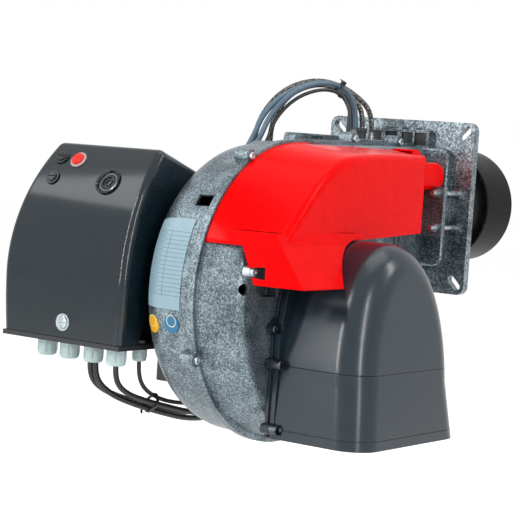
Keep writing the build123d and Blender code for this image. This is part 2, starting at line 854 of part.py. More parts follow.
def intake_bolts():
    """Socket bolts that hold the hood to the adapter, and the screw in the ear."""
    heads = []
    for z in bolt_heights:
        head = rod(bolt_head_radius, bolt_head_length, bolt_head_start, bolt_y, z, "X")
        head = chamfer(head.edges().sort_by(Axis.X)[-1], 0.8)
        socket = Pos(bolt_head_start + bolt_head_length - 4, bolt_y, z) * Rot(0, 90, 0)
        head -= socket * extrude(RegularPolygon(3.6, 6), 5)
        heads.append(head + rod(2.5, 9, bolt_head_start - 8, bolt_y, z, "X"))
    screw = rod(5.5, 3.6, right_face_x + 5, ear_y, ear_z, "X")
    screw = fillet(screw.edges().sort_by(Axis.X)[-1], 1.4)
    heads.append(screw - rod(2.4, 2.5, right_face_x + 7, ear_y, ear_z, "X"))
    return heads


def damper_flap():
    """Blade across the hood on a shaft that comes out on the far side."""
    half_x, half_y = damper_half_width, damper_half_length
    low, high = damper_z - damper_thickness / 2, damper_z + damper_thickness / 2
    x0, x1 = damper_x - half_x, damper_x + half_x
    blade = block(x0, x1, hood_y - half_y, hood_y + half_y, low, high)
    blade = fillet(blade.edges().filter_by(Axis.Z).group_by(Axis.X)[-1], 30)
    start = damper_shaft_start()
    return blade + rod(damper_shaft_radius, lever_y() + 4 - start, damper_x, start, damper_z, "Y")


def lever_y():
    """Where the lever's plate starts, just outside the hood's far wall."""
    return hood_y + hood_foot_half_width - 7


def damper_lever():
    y = lever_y()
    a = math.radians(lever_rest_angle)
    px = damper_x + lever_radius * math.cos(a)
    pz = damper_z + lever_radius * math.sin(a)
    arm = rod(8, 4, damper_x, y, damper_z, "Y") + rod(5, 4, px, y, pz, "Y")
    turn = Rot(0, -lever_rest_angle, 0)
    arm += Pos((damper_x + px) / 2, y + 2, (damper_z + pz) / 2) * turn * Box(lever_radius, 4, 8)
    arm -= rod(damper_shaft_radius, 6, damper_x, y - 1, damper_z, "Y")
    return arm + rod(lever_pin_radius, 12, px, y, pz, "Y")


def ram_axis():
    """(X, Y) of the ram, at the middle of the lever pin's sideways travel."""
    return damper_x - lever_radius * (1 + math.cos(math.radians(lever_swing / 2))) / 2, lever_y() + 13


def ram_travel():
    return 2 * lever_radius * math.sin(math.radians(lever_swing / 2))


def ram_cylinder():
    x, y = ram_axis()
    body = rod(ram_radius, ram_length, x, y, ram_foot_z, "Z")
    body = fillet(body.edges().sort_by(Axis.Z)[-1], 3)
    body -= rod(ram_rod_radius + running_gap, ram_length - 6, x, y, ram_foot_z - 1, "Z")
    bracket = block(x - 9, x + 9, hood_y + 60, y, ram_foot_z + 14, ram_foot_z + 34)
    bracket -= hood_form(-slip_gap, hood_inner_x - 5, hood_bottom_z)
    bracket -= rod(ram_radius - 1, ram_length, x, y, ram_foot_z, "Z")
    return body + bracket


def ram_rod():
    """Stem in the cylinder with a slotted fork round the lever's pin."""
    x, y = ram_axis()
    pz = damper_z + lever_radius * math.sin(math.radians(lever_rest_angle))
    fork_y = lever_y() + 4 + slip_gap
    slot_half = lever_pin_radius + 0.8
    fork = block(x - 11, x + 11, fork_y, fork_y + 6, pz - 8, pz + 8)
    fork -= block(x - 7, x + 7, fork_y - 1, fork_y + 7, pz - slot_half, pz + slot_half)
    stem = rod(ram_rod_radius, ram_foot_z + ram_travel() + 10 - pz - 8, x, y, pz + 8, "Z")
    link = block(x - 5, x + 5, fork_y, y + 4, pz + 4, pz + 9)
    return fork + link + stem


def fan_wheel():
    back = rod(fan_radius, 2.5, fan_left_x, fan_y, fan_z, "X")
    ring = tube(fan_radius, fan_inner_radius, 2, fan_left_x + fan_width - 2, fan_y, fan_z, "X")
    hub = rod(fan_hub_radius, 30, fan_left_x - 6, fan_y, fan_z, "X")
    wheel = back + ring + hub
    middle = (fan_radius + fan_inner_radius) / 2
    chord = fan_radius - fan_inner_radius
    blade_box = Box(fan_width - 1, 1.6, chord * 1.12, align=(Align.MIN, Align.CENTER, Align.CENTER))
    for n in range(fan_blades):
        a = 360 / fan_blades * n
        blade = Rot(a, 0, 0) * Pos(fan_left_x + 0.5, 0, middle) * Rot(28, 0, 0) * blade_box
        wheel += Pos(0, fan_y, fan_z) * blade
    return wheel - rod(shaft_radius, 80, fan_left_x - 20, fan_y, fan_z, "X")


def motor_left_x():
    return left_face_x - motor_flange - motor_length


def motor_body():
    start = left_face_x - motor_flange
    body = rod(motor_flange_radius, motor_flange, start, fan_y, fan_z, "X")
    body += rod(inlet_throat - 6.3, 3, left_face_x, fan_y, fan_z, "X")
    barrel_left = motor_left_x() + motor_bell
    body += rod(motor_radius - 5, start - barrel_left, barrel_left, fan_y, fan_z, "X")
    for n in range(motor_fins):
        a = 360 / motor_fins * n
        fin = Box(start - barrel_left, 3, 8, align=(Align.MIN, Align.CENTER, Align.CENTER))
        body += Pos(barrel_left, fan_y, fan_z) * Rot(a, 0, 0) * Pos(0, 0, motor_radius - 6) * fin
    body -= rod(shaft_radius + running_gap, 400, motor_left_x() - 10, fan_y, fan_z, "X")
    for n in range(4):
        y, z = on_fan(motor_flange_radius - 6, 45 + 90 * n)
        body -= rod(3, 20, start - 2, y, z, "X")
    return body


def motor_end_bell():
    left = motor_left_x()
    bell = rod(motor_radius - 2, motor_bell, left, fan_y, fan_z, "X")
    bell = fillet(bell.edges().sort_by(Axis.X)[0], 6)
    for n in range(10):
        slot_y, slot_z = on_fan(motor_radius - 22, 36 * n)
        bell -= rod(5, 6, left - 1, slot_y, slot_z, "X")
    return bell - rod(shaft_radius + running_gap, 40, left - 5, fan_y, fan_z, "X")


def motor_screws():
    start = left_face_x - motor_flange
    pieces = []
    for n in range(4):
        y, z = on_fan(motor_flange_radius - 6, 45 + 90 * n)
        head = Pos(start - 5, y, z) * Rot(0, 90, 0) * extrude(RegularPolygon(5.5, 6), 5)
        pieces.append(head + rod(2.45, 17, start, y, z, "X"))
    return pieces


def motor_terminal_box():
    top = fan_z - motor_radius - 2
    body = block(-122, -78, *terminal_box_y, -246, top)
    body = fillet(body.edges().filter_by(Axis.Z), 4)
    lid_edges = body.faces().sort_by(Axis.Z)[0].edges()
    body = fillet(lid_edges, 2)
    return body - rod(motor_radius - 1.7, 60, -130, fan_y, fan_z, "X")


def motor_shaft():
    left = motor_left_x() - pump_bracket_length + 6
    return rod(shaft_radius, fan_left_x + 30 - left, left, fan_y, fan_z, "X")


def fan_bolt():
    x = fan_left_x + 30
    bolt = rod(fan_hub_radius - 8, 2.5, x, fan_y, fan_z, "X")
    bolt += Pos(x + 2.5, fan_y, fan_z) * Rot(0, 90, 0) * extrude(RegularPolygon(8, 6), 6)
    return bolt


def pump_bracket():
    left = motor_left_x() - pump_bracket_length
    body = tube(34, 28, pump_bracket_length, left, fan_y, fan_z, "X")
    body += tube(46, 26, 4, left + pump_bracket_length - 4, fan_y, fan_z, "X")
    for a in (90, -90):
        y, z = on_fan(34, a)
        body -= block(left + 8, left + pump_bracket_length - 8, y - 14, y + 14, z - 8, z + 8)
    return body


def pump_coupling():
    left = motor_left_x() - pump_bracket_length
    body = rod(coupling_radius, 22, left + 2, fan_y, fan_z, "X")
    for n in range(4):
        y, z = on_fan(coupling_radius, 90 * n)
        body -= block(left + 9, left + 17, y - 3, y + 3, z - 3, z + 3)
    body -= rod(shaft_radius, 30, left + 4, fan_y, fan_z, "X")
    return body - rod(5.5, 10, left - 1, fan_y, fan_z, "X")


def pump_right_x():
    return motor_left_x() - pump_bracket_length


def fuel_pump():
    """Gear pump: gauge and suction ports below, two outlets on the side towards the boiler."""
    right = pump_right_x()
    left = right - pump_length
    half = pump_width / 2
    body = block(left + 12, right - 8, fan_y - half, fan_y + half, fan_z - half, fan_z + half)
    body = fillet(body.edges().filter_by(Axis.X), 8)
    body += rod(30, 8, right - 8, fan_y, fan_z, "X")
    body += fillet(rod(26, 12, left, fan_y, fan_z, "X").edges().sort_by(Axis.X)[0], 3)
    for z in (fan_z - outlet_pitch / 2, fan_z + outlet_pitch / 2):
        body += rod(9, 8, pump_outlet_x, fan_y + half - 4, z, "Y")
    for y in (fan_y - 14, fan_y + 14):
        body += rod(10, 8, left + 28, y, fan_z - half - 5, "Z")
        body -= rod(6.5, 14, left + 28, y, fan_z - half - 6, "Z")
    return body - rod(6, 12, right - 8, fan_y, fan_z, "X")


def pump_spindle():
    """Stub of the pump's drive, held by the coupling."""
    return rod(5.4, 12, pump_right_x() - 6, fan_y, fan_z, "X")


def outlet_fittings():
    """Hex fittings between the pump's outlets and the two oil hoses."""
    pieces = []
    start = fan_y + pump_width / 2 + 4
    for z in (fan_z - outlet_pitch / 2, fan_z + outlet_pitch / 2):
        piece = hexagon(8, 8, pump_outlet_x, start, z)
        piece += rod(5.4, hose_start_y - start, pump_outlet_x, start, z, "Y")
        pieces.append(piece)
    return pieces


def solenoid_valves():
    """Two valve coils on top of the pump, one for each nozzle."""
    right = pump_right_x()
    left = right - pump_length
    top = fan_z + pump_width / 2
    pieces = []
    for y in (fan_y - 15, fan_y + 15):
        stem = rod(7, 40, left + 28, y, top, "Z")
        coil = block(left + 14, left + 42, y - 13, y + 13, top + 5, top + 33)
        coil = fillet(coil.edges().filter_by(Axis.Z), 4)
        pieces.append(stem + coil)
    return pieces


def ignition_transformer():
    """Encapsulated transformer in the pocket under the red cover."""
    body = block(pocket_floor_x, pocket_floor_x + transformer_depth, -385, -300, -12, 34)
    body = fillet(body.edges().filter_by(Axis.X), 6)
    for y in (-330.0, -312.0):
        body += rod(5, 12, pocket_floor_x + transformer_depth / 2, y, 32, "Z")
    return body


def front_arc_centre():
    return box_front_y + box_front_radius, box_straight_z


def front_point(z):
    """(Y, Z) on the box's curved front at this height, and the slope of its normal in degrees."""
    yc, zc = front_arc_centre()
    if z <= zc:
        return box_front_y, z, 0.0
    a = math.asin((z - zc) / box_front_radius)
    return yc - box_front_radius * math.cos(a), z, math.degrees(a)


def box_profile(inset, back_gap, low):
    """Side outline of the box in (Y, Z): curved front, sloping roof, round back and straight foot."""
    yc, zc = front_arc_centre()
    radius = box_front_radius - inset
    top_z = box_top_z - inset * 1.4
    apex_y = yc - math.sqrt(radius**2 - (top_z - zc) ** 2)
    mid_a = math.asin((top_z - zc) / radius) / 2
    back_radius = box_back_radius - back_gap
    back = on_fan(back_radius - inset * 1.1, box_back_angle)
    waist = on_fan(back_radius, box_waist_angle)
    start = math.degrees(math.atan2(back[1] - fan_z, fan_y - back[0]))
    middle = on_fan(back_radius, (start + box_waist_angle) / 2)
    corner_y, corner_z = on_fan(back_radius, start)
    corner = (corner_y, corner_z - inset * 1.1)
    return make_face(
        [
            Line((box_front_y + inset, low), (box_front_y + inset, zc)),
            ThreePointArc(
                (box_front_y + inset, zc),
                (yc - radius * math.cos(mid_a), zc + radius * math.sin(mid_a)),
                (apex_y, top_z),
            ),
            Line((apex_y, top_z), corner),
            ThreePointArc(corner, middle, waist),
            Line(waist, (box_foot_y + back_gap, low)),
            Line((box_foot_y + back_gap, low), (box_front_y + inset, low)),
        ]
    )


def box_sides(inset, low):
    """The bowed, tapered width of the box, seen from the front."""
    high = box_top_z + 20
    rise = (high - box_bottom_z) / (box_top_z - box_bottom_z)
    mid_z = (high + box_bottom_z) / 2
    foot = (box_left_x + inset, box_right_x - inset)
    head = (foot[0] + box_taper_left * rise, foot[1] - box_taper_right * rise)
    bow = box_bow * rise
    middle = ((foot[0] + head[0]) / 2 - bow, (foot[1] + head[1]) / 2 + bow / 2)
    foot_z = box_bottom_z + slip_gap
    outline = [
        ThreePointArc((foot[1], foot_z), (middle[1], mid_z), (head[1], high)),
        Line((head[1], high), (head[0], high)),
        ThreePointArc((head[0], high), (middle[0], mid_z), (foot[0], foot_z)),
    ]
    if low < foot_z:
        outline.append(Polyline((foot[0], foot_z), (foot[0], low), (foot[1], low), (foot[1], foot_z)))
    else:
        outline.append(Line((foot[0], foot_z), (foot[1], foot_z)))
    return xz_sheet(make_face(outline), -700, -200)


def control_box_cover():
    """Curved lid of the control box."""
    low = box_bottom_z + slip_gap
    outer = yz_sheet(box_profile(0, 0, low), box_left_x - 20, box_right_x + 20) & box_sides(0, low)
    roof = [e for e in outer.edges() if e.center().Z > 20 and e.bounding_box().size.Y > 30]
    roof = [e for e in roof if e.bounding_box().size.X < 16 and e.center().Y > box_apex_y + 2]
    outer = fillet(roof, box_corner_round)
    front_edges = [e for e in outer.edges() if e.bounding_box().min.Y < box_front_y + 2]
    front_edges = [e for e in front_edges if e.bounding_box().size.Z > 50 and e.bounding_box().size.X < 30]
    outer = fillet(front_edges, box_edge_round)
    hollow = yz_sheet(box_profile(box_wall, 14, low - 10), box_left_x - 20, box_right_x + 20)
    hollow &= box_sides(box_wall, low - 10)
    shell = outer - hollow
    for place, radius in cover_holes():
        shell -= on_front(rod(radius, 40, 0, 0, -20, "Z"), place)
    return shell


def cover_holes():
    holes = [(reset_place, reset_radius + 0.5), (plug_place, 11.0), (lid_screw_place, 6.0)]
    return holes + [(place, 6.5) for place in fuse_places]


def on_front(shape, place):
    """Stand a shape on the box's curved front at a place given in (X, Z)."""
    y, z, slope = front_point(place[1])
    return Pos(place[0], y, z) * Rot(90 - slope, 0, 0) * shape


def reset_button():
    cap = Cylinder(reset_radius, reset_stand + 9, align=(Align.CENTER, Align.CENTER, Align.MIN))
    cap = fillet(cap.edges().sort_by(Axis.Z)[-1], 1.2)
    return on_front(Pos(0, 0, -9) * cap, reset_place)


def reset_bezel():
    """Ring around the reset button, with the guide that the button slides in."""
    outer = Cylinder(reset_radius + 3.2, 2.4, align=(Align.CENTER, Align.CENTER, Align.MIN))
    guide = Cylinder(reset_radius + 0.45, 26, align=(Align.CENTER, Align.CENTER, Align.MIN))
    body = fillet(outer.edges().sort_by(Axis.Z)[-1], 1) + Pos(0, 0, -26) * guide
    bore = Cylinder(reset_radius + running_gap, 40, align=(Align.CENTER, Align.CENTER, Align.MIN))
    body -= Pos(0, 0, -18) * bore
    return on_front(body, reset_place)


def fuse_caps():
    """Two round screw-in fuse caps with a driver slot."""
    pieces = []
    for place in fuse_places:
        ring = Cylinder(fuse_radius, 2.5, align=(Align.CENTER, Align.CENTER, Align.MIN))
        ring = fillet(ring.edges().sort_by(Axis.Z)[-1], 1)
        dome = Pos(0, 0, 2) * Cylinder(6.8, 3.4, align=(Align.CENTER, Align.CENTER, Align.MIN))
        dome = fillet(dome.edges().sort_by(Axis.Z)[-1], 1.8)
        stem = Pos(0, 0, -20) * Cylinder(6.2, 20, align=(Align.CENTER, Align.CENTER, Align.MIN))
        body = ring + dome + stem - Pos(0, 0, 5.2) * Box(16, 1.4, 2.4)
        pieces.append(on_front(body, place))
    return pieces


def ringed_plug():
    """Round plug that closes the spare hole in the lid: a dish with rings in it."""
    outline = make_face(
        Polyline(
            (0, -9),
            (10.6, -9),
            (10.6, 0),
            (plug_radius, 0),
            (plug_radius, 2.6),
            (plug_radius - 2.2, 3.2),
            (plug_radius - 4.6, -1.4),
            (10.2, -1.8),
            (9.4, 0.6),
            (8.2, 0.6),
            (7.4, -2.2),
            (5.8, -2.2),
            (5.2, 0.2),
            (4.0, 0.2),
            (3.4, -2.2),
            (0, -2.2),
            close=True,
        )
    )
    return on_front(revolve(Plane.XZ * outline, axis=Axis.Z), plug_place)


def lid_screw():
    """Captive slotted screw in its washer."""
    head = Cylinder(8.5, 4, align=(Align.CENTER, Align.CENTER, Align.MIN))
    head = fillet(head.edges().sort_by(Axis.Z)[-1], 1.2)
    head -= Pos(0, 0, 4) * Box(20, 1.6, 2.4)
    shank = Pos(0, 0, -34) * Cylinder(4, 34, align=(Align.CENTER, Align.CENTER, Align.MIN))
    washer = Cylinder(11, 1.4, align=(Align.CENTER, Align.CENTER, Align.MIN))
    return on_front(head + shank + washer, lid_screw_place)


def saddle(grow, start, x0, x1):
    """Block round the motor that closes the lid's back, from its foot up to the start angle."""
    radius = box_back_radius - 1.5 + grow
    foot_y = box_foot_y + 1.5 - grow
    inner_end = -math.degrees(math.asin((fan_z - box_bottom_z) / saddle_radius))
    inner_foot = on_fan(saddle_radius, inner_end)
    outline = make_face(
        [
            ThreePointArc(
                on_fan(radius, start),
                on_fan(radius, (start + box_waist_angle) / 2),
                on_fan(radius, box_waist_angle),
            ),
            Line(on_fan(radius, box_waist_angle), (foot_y, box_bottom_z)),
            Line((foot_y, box_bottom_z), inner_foot),
            ThreePointArc(inner_foot, on_fan(saddle_radius, 5), on_fan(saddle_radius, start)),
            Line(on_fan(saddle_radius, start), on_fan(radius, start)),
        ]
    )
    return yz_sheet(outline, x0, x1)


def control_box_base():
    """Saddle around the motor that carries the lid, the gland plate and the lid's screw post."""
    left, right = box_left_x + base_inset, box_right_x - base_inset
    body = saddle(0, 64, left, right)
    for x0 in (left, right - 5):
        body += saddle(0, 69, x0, x0 + 5)
    plate_y = (box_front_y - 1.5, box_foot_y + 55)
    body += block(box_left_x + 1, box_right_x + 1, *plate_y, box_bottom_z - gland_plate, box_bottom_z)
    post_x, post_z = lid_screw_place
    body += block(post_x - 9, post_x + 9, box_front_y + 12, box_foot_y + 4, box_bottom_z - 1, post_z + 10)
    hole = Pos(0, 0, -35) * Cylinder(4.05, 30, align=(Align.CENTER, Align.CENTER, Align.MIN))
    body -= on_front(hole, lid_screw_place)
    for n in range(4):
        body -= rod(8.05, 20, gland_x[n], gland_y, box_bottom_z - 12, "Z")
    body -= rod(6.05, 20, small_gland_x, small_gland_y, box_bottom_z - 12, "Z")
    # spacers that stand on the housing between its ribs
    for a in (11.0, -34.0):
        y, z = on_fan(122, a)
        body += rod(spacer_radius, left_face_x - right, right, y, z, "X")
    # room for the motor's terminal box
    y0, y1 = terminal_box_y
    return body - block(-124, -76, y0 - 1, y1 + 1, box_bottom_z - 60, fan_z)


def control_unit():
    """Programming relay inside the box, on the front of the saddle."""
    body = block(-240, -120, -498, -440, -150, -62)
    return body - saddle(slip_gap, 64, -260, -100)


def gland(radius, length):
    """Cable gland hanging from z = 0: hex body, domed nut and bore, with its thread above."""
    body = extrude(RegularPolygon(radius * 1.04, 6), -7)
    nut = Cylinder(radius * 0.94, length - 6, align=(Align.CENTER, Align.CENTER, Align.MIN))
    nut = Pos(0, 0, -length) * fillet(nut.edges().sort_by(Axis.Z)[0], radius * 0.3)
    for n in range(6):
        rib = Box(radius * 0.5, 2, length - 12, align=(Align.MIN, Align.CENTER, Align.MAX))
        nut += Rot(0, 0, 60 * n) * Pos(radius * 0.52, 0, -7) * rib
    thread = Cylinder(radius * 0.61, 9, align=(Align.CENTER, Align.CENTER, Align.MIN))
    return body + nut + thread


def cable_glands():
    pieces = []
    top = box_bottom_z - gland_plate
    for n in range(4):
        piece = gland(gland_radius, gland_length)
        x = gland_x[n]
        piece = Pos(x, gland_y, top) * piece
        pieces.append(piece)
    small = gland(small_gland_radius, small_gland_length)
    pieces.append(Pos(small_gland_x, small_gland_y, top) * small)
    return pieces


def rating_panel():
    """Blank ruled panel on the left bowl's rim."""
    outer = rim_skin(0.9)
    inner = rim_skin(0.1)
    return (outer - inner) & rim_patch(-51, 8, -6.5, 28.5)


def rim_skin(grow):
    return drum(-grow)


def rim_patch(x0, x1, a0, a1):
    """A wedge that cuts a patch out of the rim between two angles."""
    reach = 260
    mid = (a0 + a1) / 2
    corners = [(fan_y, fan_z), on_fan(reach, a0), on_fan(reach * 1.03, mid), on_fan(reach, a1)]
    return yz_sheet(make_face(Polyline(*corners, close=True)), x0, x1)


def round_stickers():
    pieces = []
    skin = rim_skin(0.9) - rim_skin(0.1)
    for x, a in ((-39.0, -13.3), (-6.0, -12.0)):
        y, z = on_fan(150, a)
        core = Cylinder(11.5, 70, align=(Align.CENTER, Align.CENTER, Align.MIN))
        core = Pos(x, y, z) * Rot(-a, 0, 0) * Rot(90, 0, 0) * core
        pieces.append(skin & core)
    return pieces


def export(name, shape):
    """Write one node; a list of pieces becomes one compound."""
    if isinstance(shape, (list, tuple)):
        shape = Compound(children=list(shape))
    export_step(shape, f"parts/{name}.step")


def route(points, radius):
    """A round tube along straight runs joined by arcs as large as the runs allow."""
    corners = [Vector(*p) for p in points]
    radii = []
    for a, b, c in zip(corners, corners[1:], corners[2:]):
        turn = math.radians((b - a).get_angle(c - b))
        run = min((b - a).length, (c - b).length)
        radii.append(0.45 * run / math.tan(turn / 2))
    line = FilletPolyline(*corners, radius=radii)
    profile = Plane(origin=line @ 0, z_dir=line % 0) * Circle(radius)
    body = sweep(profile, path=line)
    ratio = body.volume / (math.pi * radius**2 * line.length)
    print("   length", round(line.length, 1), "tightest bend", round(min(radii), 1))
    print("   volume over plain tube", round(ratio, 4))
    return body


def red_cover():
    """Moulded cover over the pocket, the duct's side and the clamp; its flare rests over the hood."""
    body = red_cover_form(0) - red_cover_form(cover_wall)
    body -= drum(-free_gap)
    body -= neck(-free_gap, boss_face_y - 4)
    body -= yz_sheet(lip_outline(lip_height + free_gap), parting_x - 1, parting_x + lip_width + 0.4)
    for y, z in lug_places():
        body -= rod(6.2, 14, parting_x + lug_depth - 1, y, z, "X")
    for boss in lugs(parting_x + 1, parting_x + lug_depth + slip_gap):
        body -= boss
    body -= hood_form(-2, hood_inner_x - 20, hood_bottom_z)
    body -= yz_sheet(adapter_outline(-slip_gap), right_face_x - 1, hood_inner_x + 1)
    body -= rod(7.5 + slip_gap, 30, right_face_x, cover_front_y, -81, "X")
    solids = body.solids().sort_by(SortBy.VOLUME)
    return solids[-1]


def cover_screws():
    """Screw and spacer that hold the cover's flared corner to the right bowl."""
    y, z = cover_front_y, -81
    head = rod(6, 4, right_face_x + 10, y, z, "X")
    head = fillet(head.edges().sort_by(Axis.X)[-1], 1.6)
    head -= rod(2.6, 3, right_face_x + 12, y, z, "X")
    return head + rod(7.5, 10, right_face_x, y, z, "X")


# radius and route points of each cord; every one leaves its fitting square to the face
cords = {
    "grey_cable_1": (
        3.75,
        (
            (-107, -365.5, -9.4),
            (-107, -333.2, 6.4),
            (-104, -294, 22),
            (-96, -260, 38),
            (-84, -239, 74),
            (-78, -225, 112),
            (-67, -191, 146),
            (-51, -147, 163),
            (-37, -107, 158),
            (-27, -90, 130),
            (-27, -90, 100),
        ),
    ),
    "grey_cable_2": (
        3.75,
        (
            (-118, -365.5, -9.4),
            (-118, -333.2, 6.4),
            (-115, -294, 24),
            (-105, -260, 40),
            (-93, -241, 76),
            (-88, -226, 115),
            (-75, -188, 147),
            (-59, -144, 163),
            (-45, -104, 158),
            (-36, -87, 130),
            (-36, -87, 100),
        ),
    ),
    "oil_hose_1": (
        3.75,
        (
            (-260, -262, -99),
            (-260, -236, -99),
            (-252, -208, -86),
            (-224, -196, -52),
            (-180, -200, -16),
            (-142, -210, 14),
            (-118, -214, 42),
            (-104, -224, 72),
            (-101, -214, 111),
            (-91, -182, 147),
            (-75, -138, 165),
            (-59, -95, 163),
            (-40, -66, 146),
            (-22, -56, 124),
            (-22, -56, 98),
        ),
    ),
    "oil_hose_2": (
        3.75,
        (
            (-260, -262, -131),
            (-260, -234, -131),
            (-256, -200, -118),
            (-232, -182, -84),
            (-190, -182, -44),
            (-150, -188, -8),
            (-114, -196, 26),
            (-88, -206, 65),
            (-89, -205, 102),
            (-82, -182, 141),
            (-67, -140, 160),
            (-54, -100, 158),
            (-34, -76, 138),
            (-26, -74, 118),
            (-26, -74, 98),
        ),
    ),
    "signal_lead": (
        2.5,
        (
            (-93.5, -365.5, -9.4),
            (-93.5, -333.2, 6.4),
            (-92, -296, 22),
            (-88, -262, 38),
            (-77, -232, 68),
            (-74, -219, 107),
            (-64, -187, 138),
            (-50, -148, 153),
            (-36, -120, 150),
            (-22, -114, 128),
            (-18, -122, 110),
            (-18, -122, 94),
        ),
    ),
    "bottom_lead_1": (
        3.9,
        (
            (-141.3, -488, -218),
            (-141.3, -488, -236),
            (-134, -471, -254),
            (-118, -440, -267),
            (-104, -400, -277),
            (-98, -350, -289),
            (-98, -305, -287),
            (-102, -260, -278),
            (-105, -244, -261),
            (-108, -244, -238),
            (-111, -260, -220.5),
            (-111, -292, -222),
            (-111, -322, -222),
        ),
    ),
    "bottom_lead_2": (
        3.9,
        (
            (-132.7, -488, -218),
            (-132.7, -488, -237),
            (-123, -471, -257),
            (-108, -440, -271),
            (-94, -400, -283),
            (-88, -350, -295),
            (-88, -300, -297),
            (-90, -247, -288),
            (-92, -225, -266),
            (-94, -225, -236),
            (-97, -247, -212.5),
            (-98, -286, -214),
            (-98, -322, -214),
        ),
    ),
    "bottom_lead_3": (
        3.6,
        (
            (-99, -488, -218),
            (-99, -488, -235),
            (-97, -472, -252),
            (-92, -443, -263),
            (-83, -402, -274),
            (-78, -354, -285),
            (-76, -302, -291),
            (-78, -246, -279),
            (-84, -213, -246),
            (-95, -199, -205),
            (-116, -196, -162),
            (-146, -194, -122),
            (-186, -200, -90),
            (-226, -214, -70),
            (-258, -244, -65),
            (-258, -286, -65),
        ),
    ),
    "bottom_lead_4": (
        2.75,
        (
            (-91.5, -452, -213),
            (-91.5, -452, -230),
            (-92, -439, -249),
            (-92, -414, -262),
            (-92, -386, -270),
            (-92, -352, -275),
            (-91, -318, -276),
            (-89, -284, -272),
            (-87, -252, -266),
            (-85.5, -237, -252),
            (-84, -237, -232),
            (-84, -251, -217.5),
            (-84, -288, -219),
            (-84, -322, -219),
        ),
    ),
}

nodes = {
    "boiler_flange": boiler_flange,
    "line_grommets": line_grommets,
    "flange_studs": flange_studs,
    "blast_tube": blast_tube,
    "swirl_disc": head_disc,
    "nozzle_holder": nozzle_holder,
    "nozzles": nozzles,
    "ignition_electrodes": electrodes,
    "electrode_clamp": electrode_clamp,
    "head_cover": head_cover,
    "lid_fittings": lid_fittings,
    "pressure_tap": pressure_tap,
    "left_housing": left_housing,
    "right_housing": right_housing,
    "housing_screws": housing_screws,
    "red_cover": red_cover,
    "cover_screws": cover_screws,
    "ignition_transformer": ignition_transformer,
    "intake_adapter": intake_adapter,
    "intake_hood": intake_hood,
    "intake_skirt": intake_skirt,
    "intake_bolts": intake_bolts,
    "damper_flap": damper_flap,
    "damper_lever": damper_lever,
    "ram_cylinder": ram_cylinder,
    "ram_rod": ram_rod,
    "fan_wheel": fan_wheel,
    "fan_bolt": fan_bolt,
    "motor_body": motor_body,
    "motor_end_bell": motor_end_bell,
    "motor_screws": motor_screws,
    "motor_terminal_box": motor_terminal_box,
    "motor_shaft": motor_shaft,
    "pump_bracket": pump_bracket,
    "pump_coupling": pump_coupling,
    "pump_spindle": pump_spindle,
    "fuel_pump": fuel_pump,
    "outlet_fittings": outlet_fittings,
    "solenoid_valves": solenoid_valves,
    "control_box_base": control_box_base,
    "control_box_cover": control_box_cover,
    "control_unit": control_unit,
    "reset_button": reset_button,
    "reset_bezel": reset_bezel,
    "fuse_caps": fuse_caps,
    "ringed_plug": ringed_plug,
    "lid_screw": lid_screw,
    "cable_glands": cable_glands,
    "rating_panel": rating_panel,
    "round_stickers": round_stickers,
}

if __name__ == "__main__":
    os.makedirs("parts", exist_ok=True)
    for name, make in nodes.items():
        export(name, make())
    for name, (radius, points) in cords.items():
        print(name)
        export(name, route(points, radius))
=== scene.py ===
import bpy
import math
from mathutils import Matrix, Vector


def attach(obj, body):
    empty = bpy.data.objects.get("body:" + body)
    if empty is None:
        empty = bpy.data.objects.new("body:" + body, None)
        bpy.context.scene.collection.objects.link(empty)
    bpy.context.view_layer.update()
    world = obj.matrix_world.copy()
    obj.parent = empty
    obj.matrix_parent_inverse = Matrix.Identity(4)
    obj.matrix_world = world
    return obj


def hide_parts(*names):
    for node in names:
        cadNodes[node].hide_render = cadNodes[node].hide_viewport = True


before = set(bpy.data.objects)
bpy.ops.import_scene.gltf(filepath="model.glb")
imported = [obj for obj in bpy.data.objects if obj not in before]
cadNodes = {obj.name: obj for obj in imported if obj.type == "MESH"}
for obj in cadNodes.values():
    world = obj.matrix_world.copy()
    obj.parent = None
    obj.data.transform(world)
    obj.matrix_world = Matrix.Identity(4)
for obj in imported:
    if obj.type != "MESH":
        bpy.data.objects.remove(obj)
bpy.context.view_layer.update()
print("burner parts loaded")


# lengths are written in millimetres and turned into metres here
def mm(*values):
    return tuple(v / 1000 for v in values)


# a colour as it looks on screen, 0 to 255
def screenColour(r, g, b):
    linear = [c / 3294.6 if c <= 10 else ((c / 255 + 0.055) / 1.055) ** 2.4 for c in (r, g, b)]
    return (linear[0], linear[1], linear[2], 1.0)


def linkObject(name, data):
    obj = bpy.data.objects.new(name, data)
    bpy.context.scene.collection.objects.link(obj)
    return obj


# camera, set as the photo was taken: from the front right, a little above the axis
cameraSettings = {
    "place": mm(1368.45, -2223.93, 76.6),
    "azimuth": 35.95,
    "elevation": 3.71,
    "roll": 3.95,
    "lens": 126.74,
    "sensor": 36.0,
}


def makeCamera():
    data = bpy.data.cameras.new("studioCamera")
    data.lens = cameraSettings["lens"]
    data.sensor_width = cameraSettings["sensor"]
    data.clip_end = 50
    az = math.radians(cameraSettings["azimuth"])
    el = math.radians(cameraSettings["elevation"])
    roll = math.radians(cameraSettings["roll"])
    ahead = Vector((-math.sin(az) * math.cos(el), math.cos(az) * math.cos(el), -math.sin(el)))
    level = Vector((math.cos(az), math.sin(az), 0))
    above = level.cross(ahead)
    right = level * math.cos(roll) + above * math.sin(roll)
    up = above * math.cos(roll) - level * math.sin(roll)
    turn = Matrix((right, up, -ahead)).transposed().to_4x4()
    camera = linkObject("studioCamera", data)
    camera.matrix_world = Matrix.Translation(cameraSettings["place"]) @ turn
    bpy.context.scene.camera = camera


makeCamera()

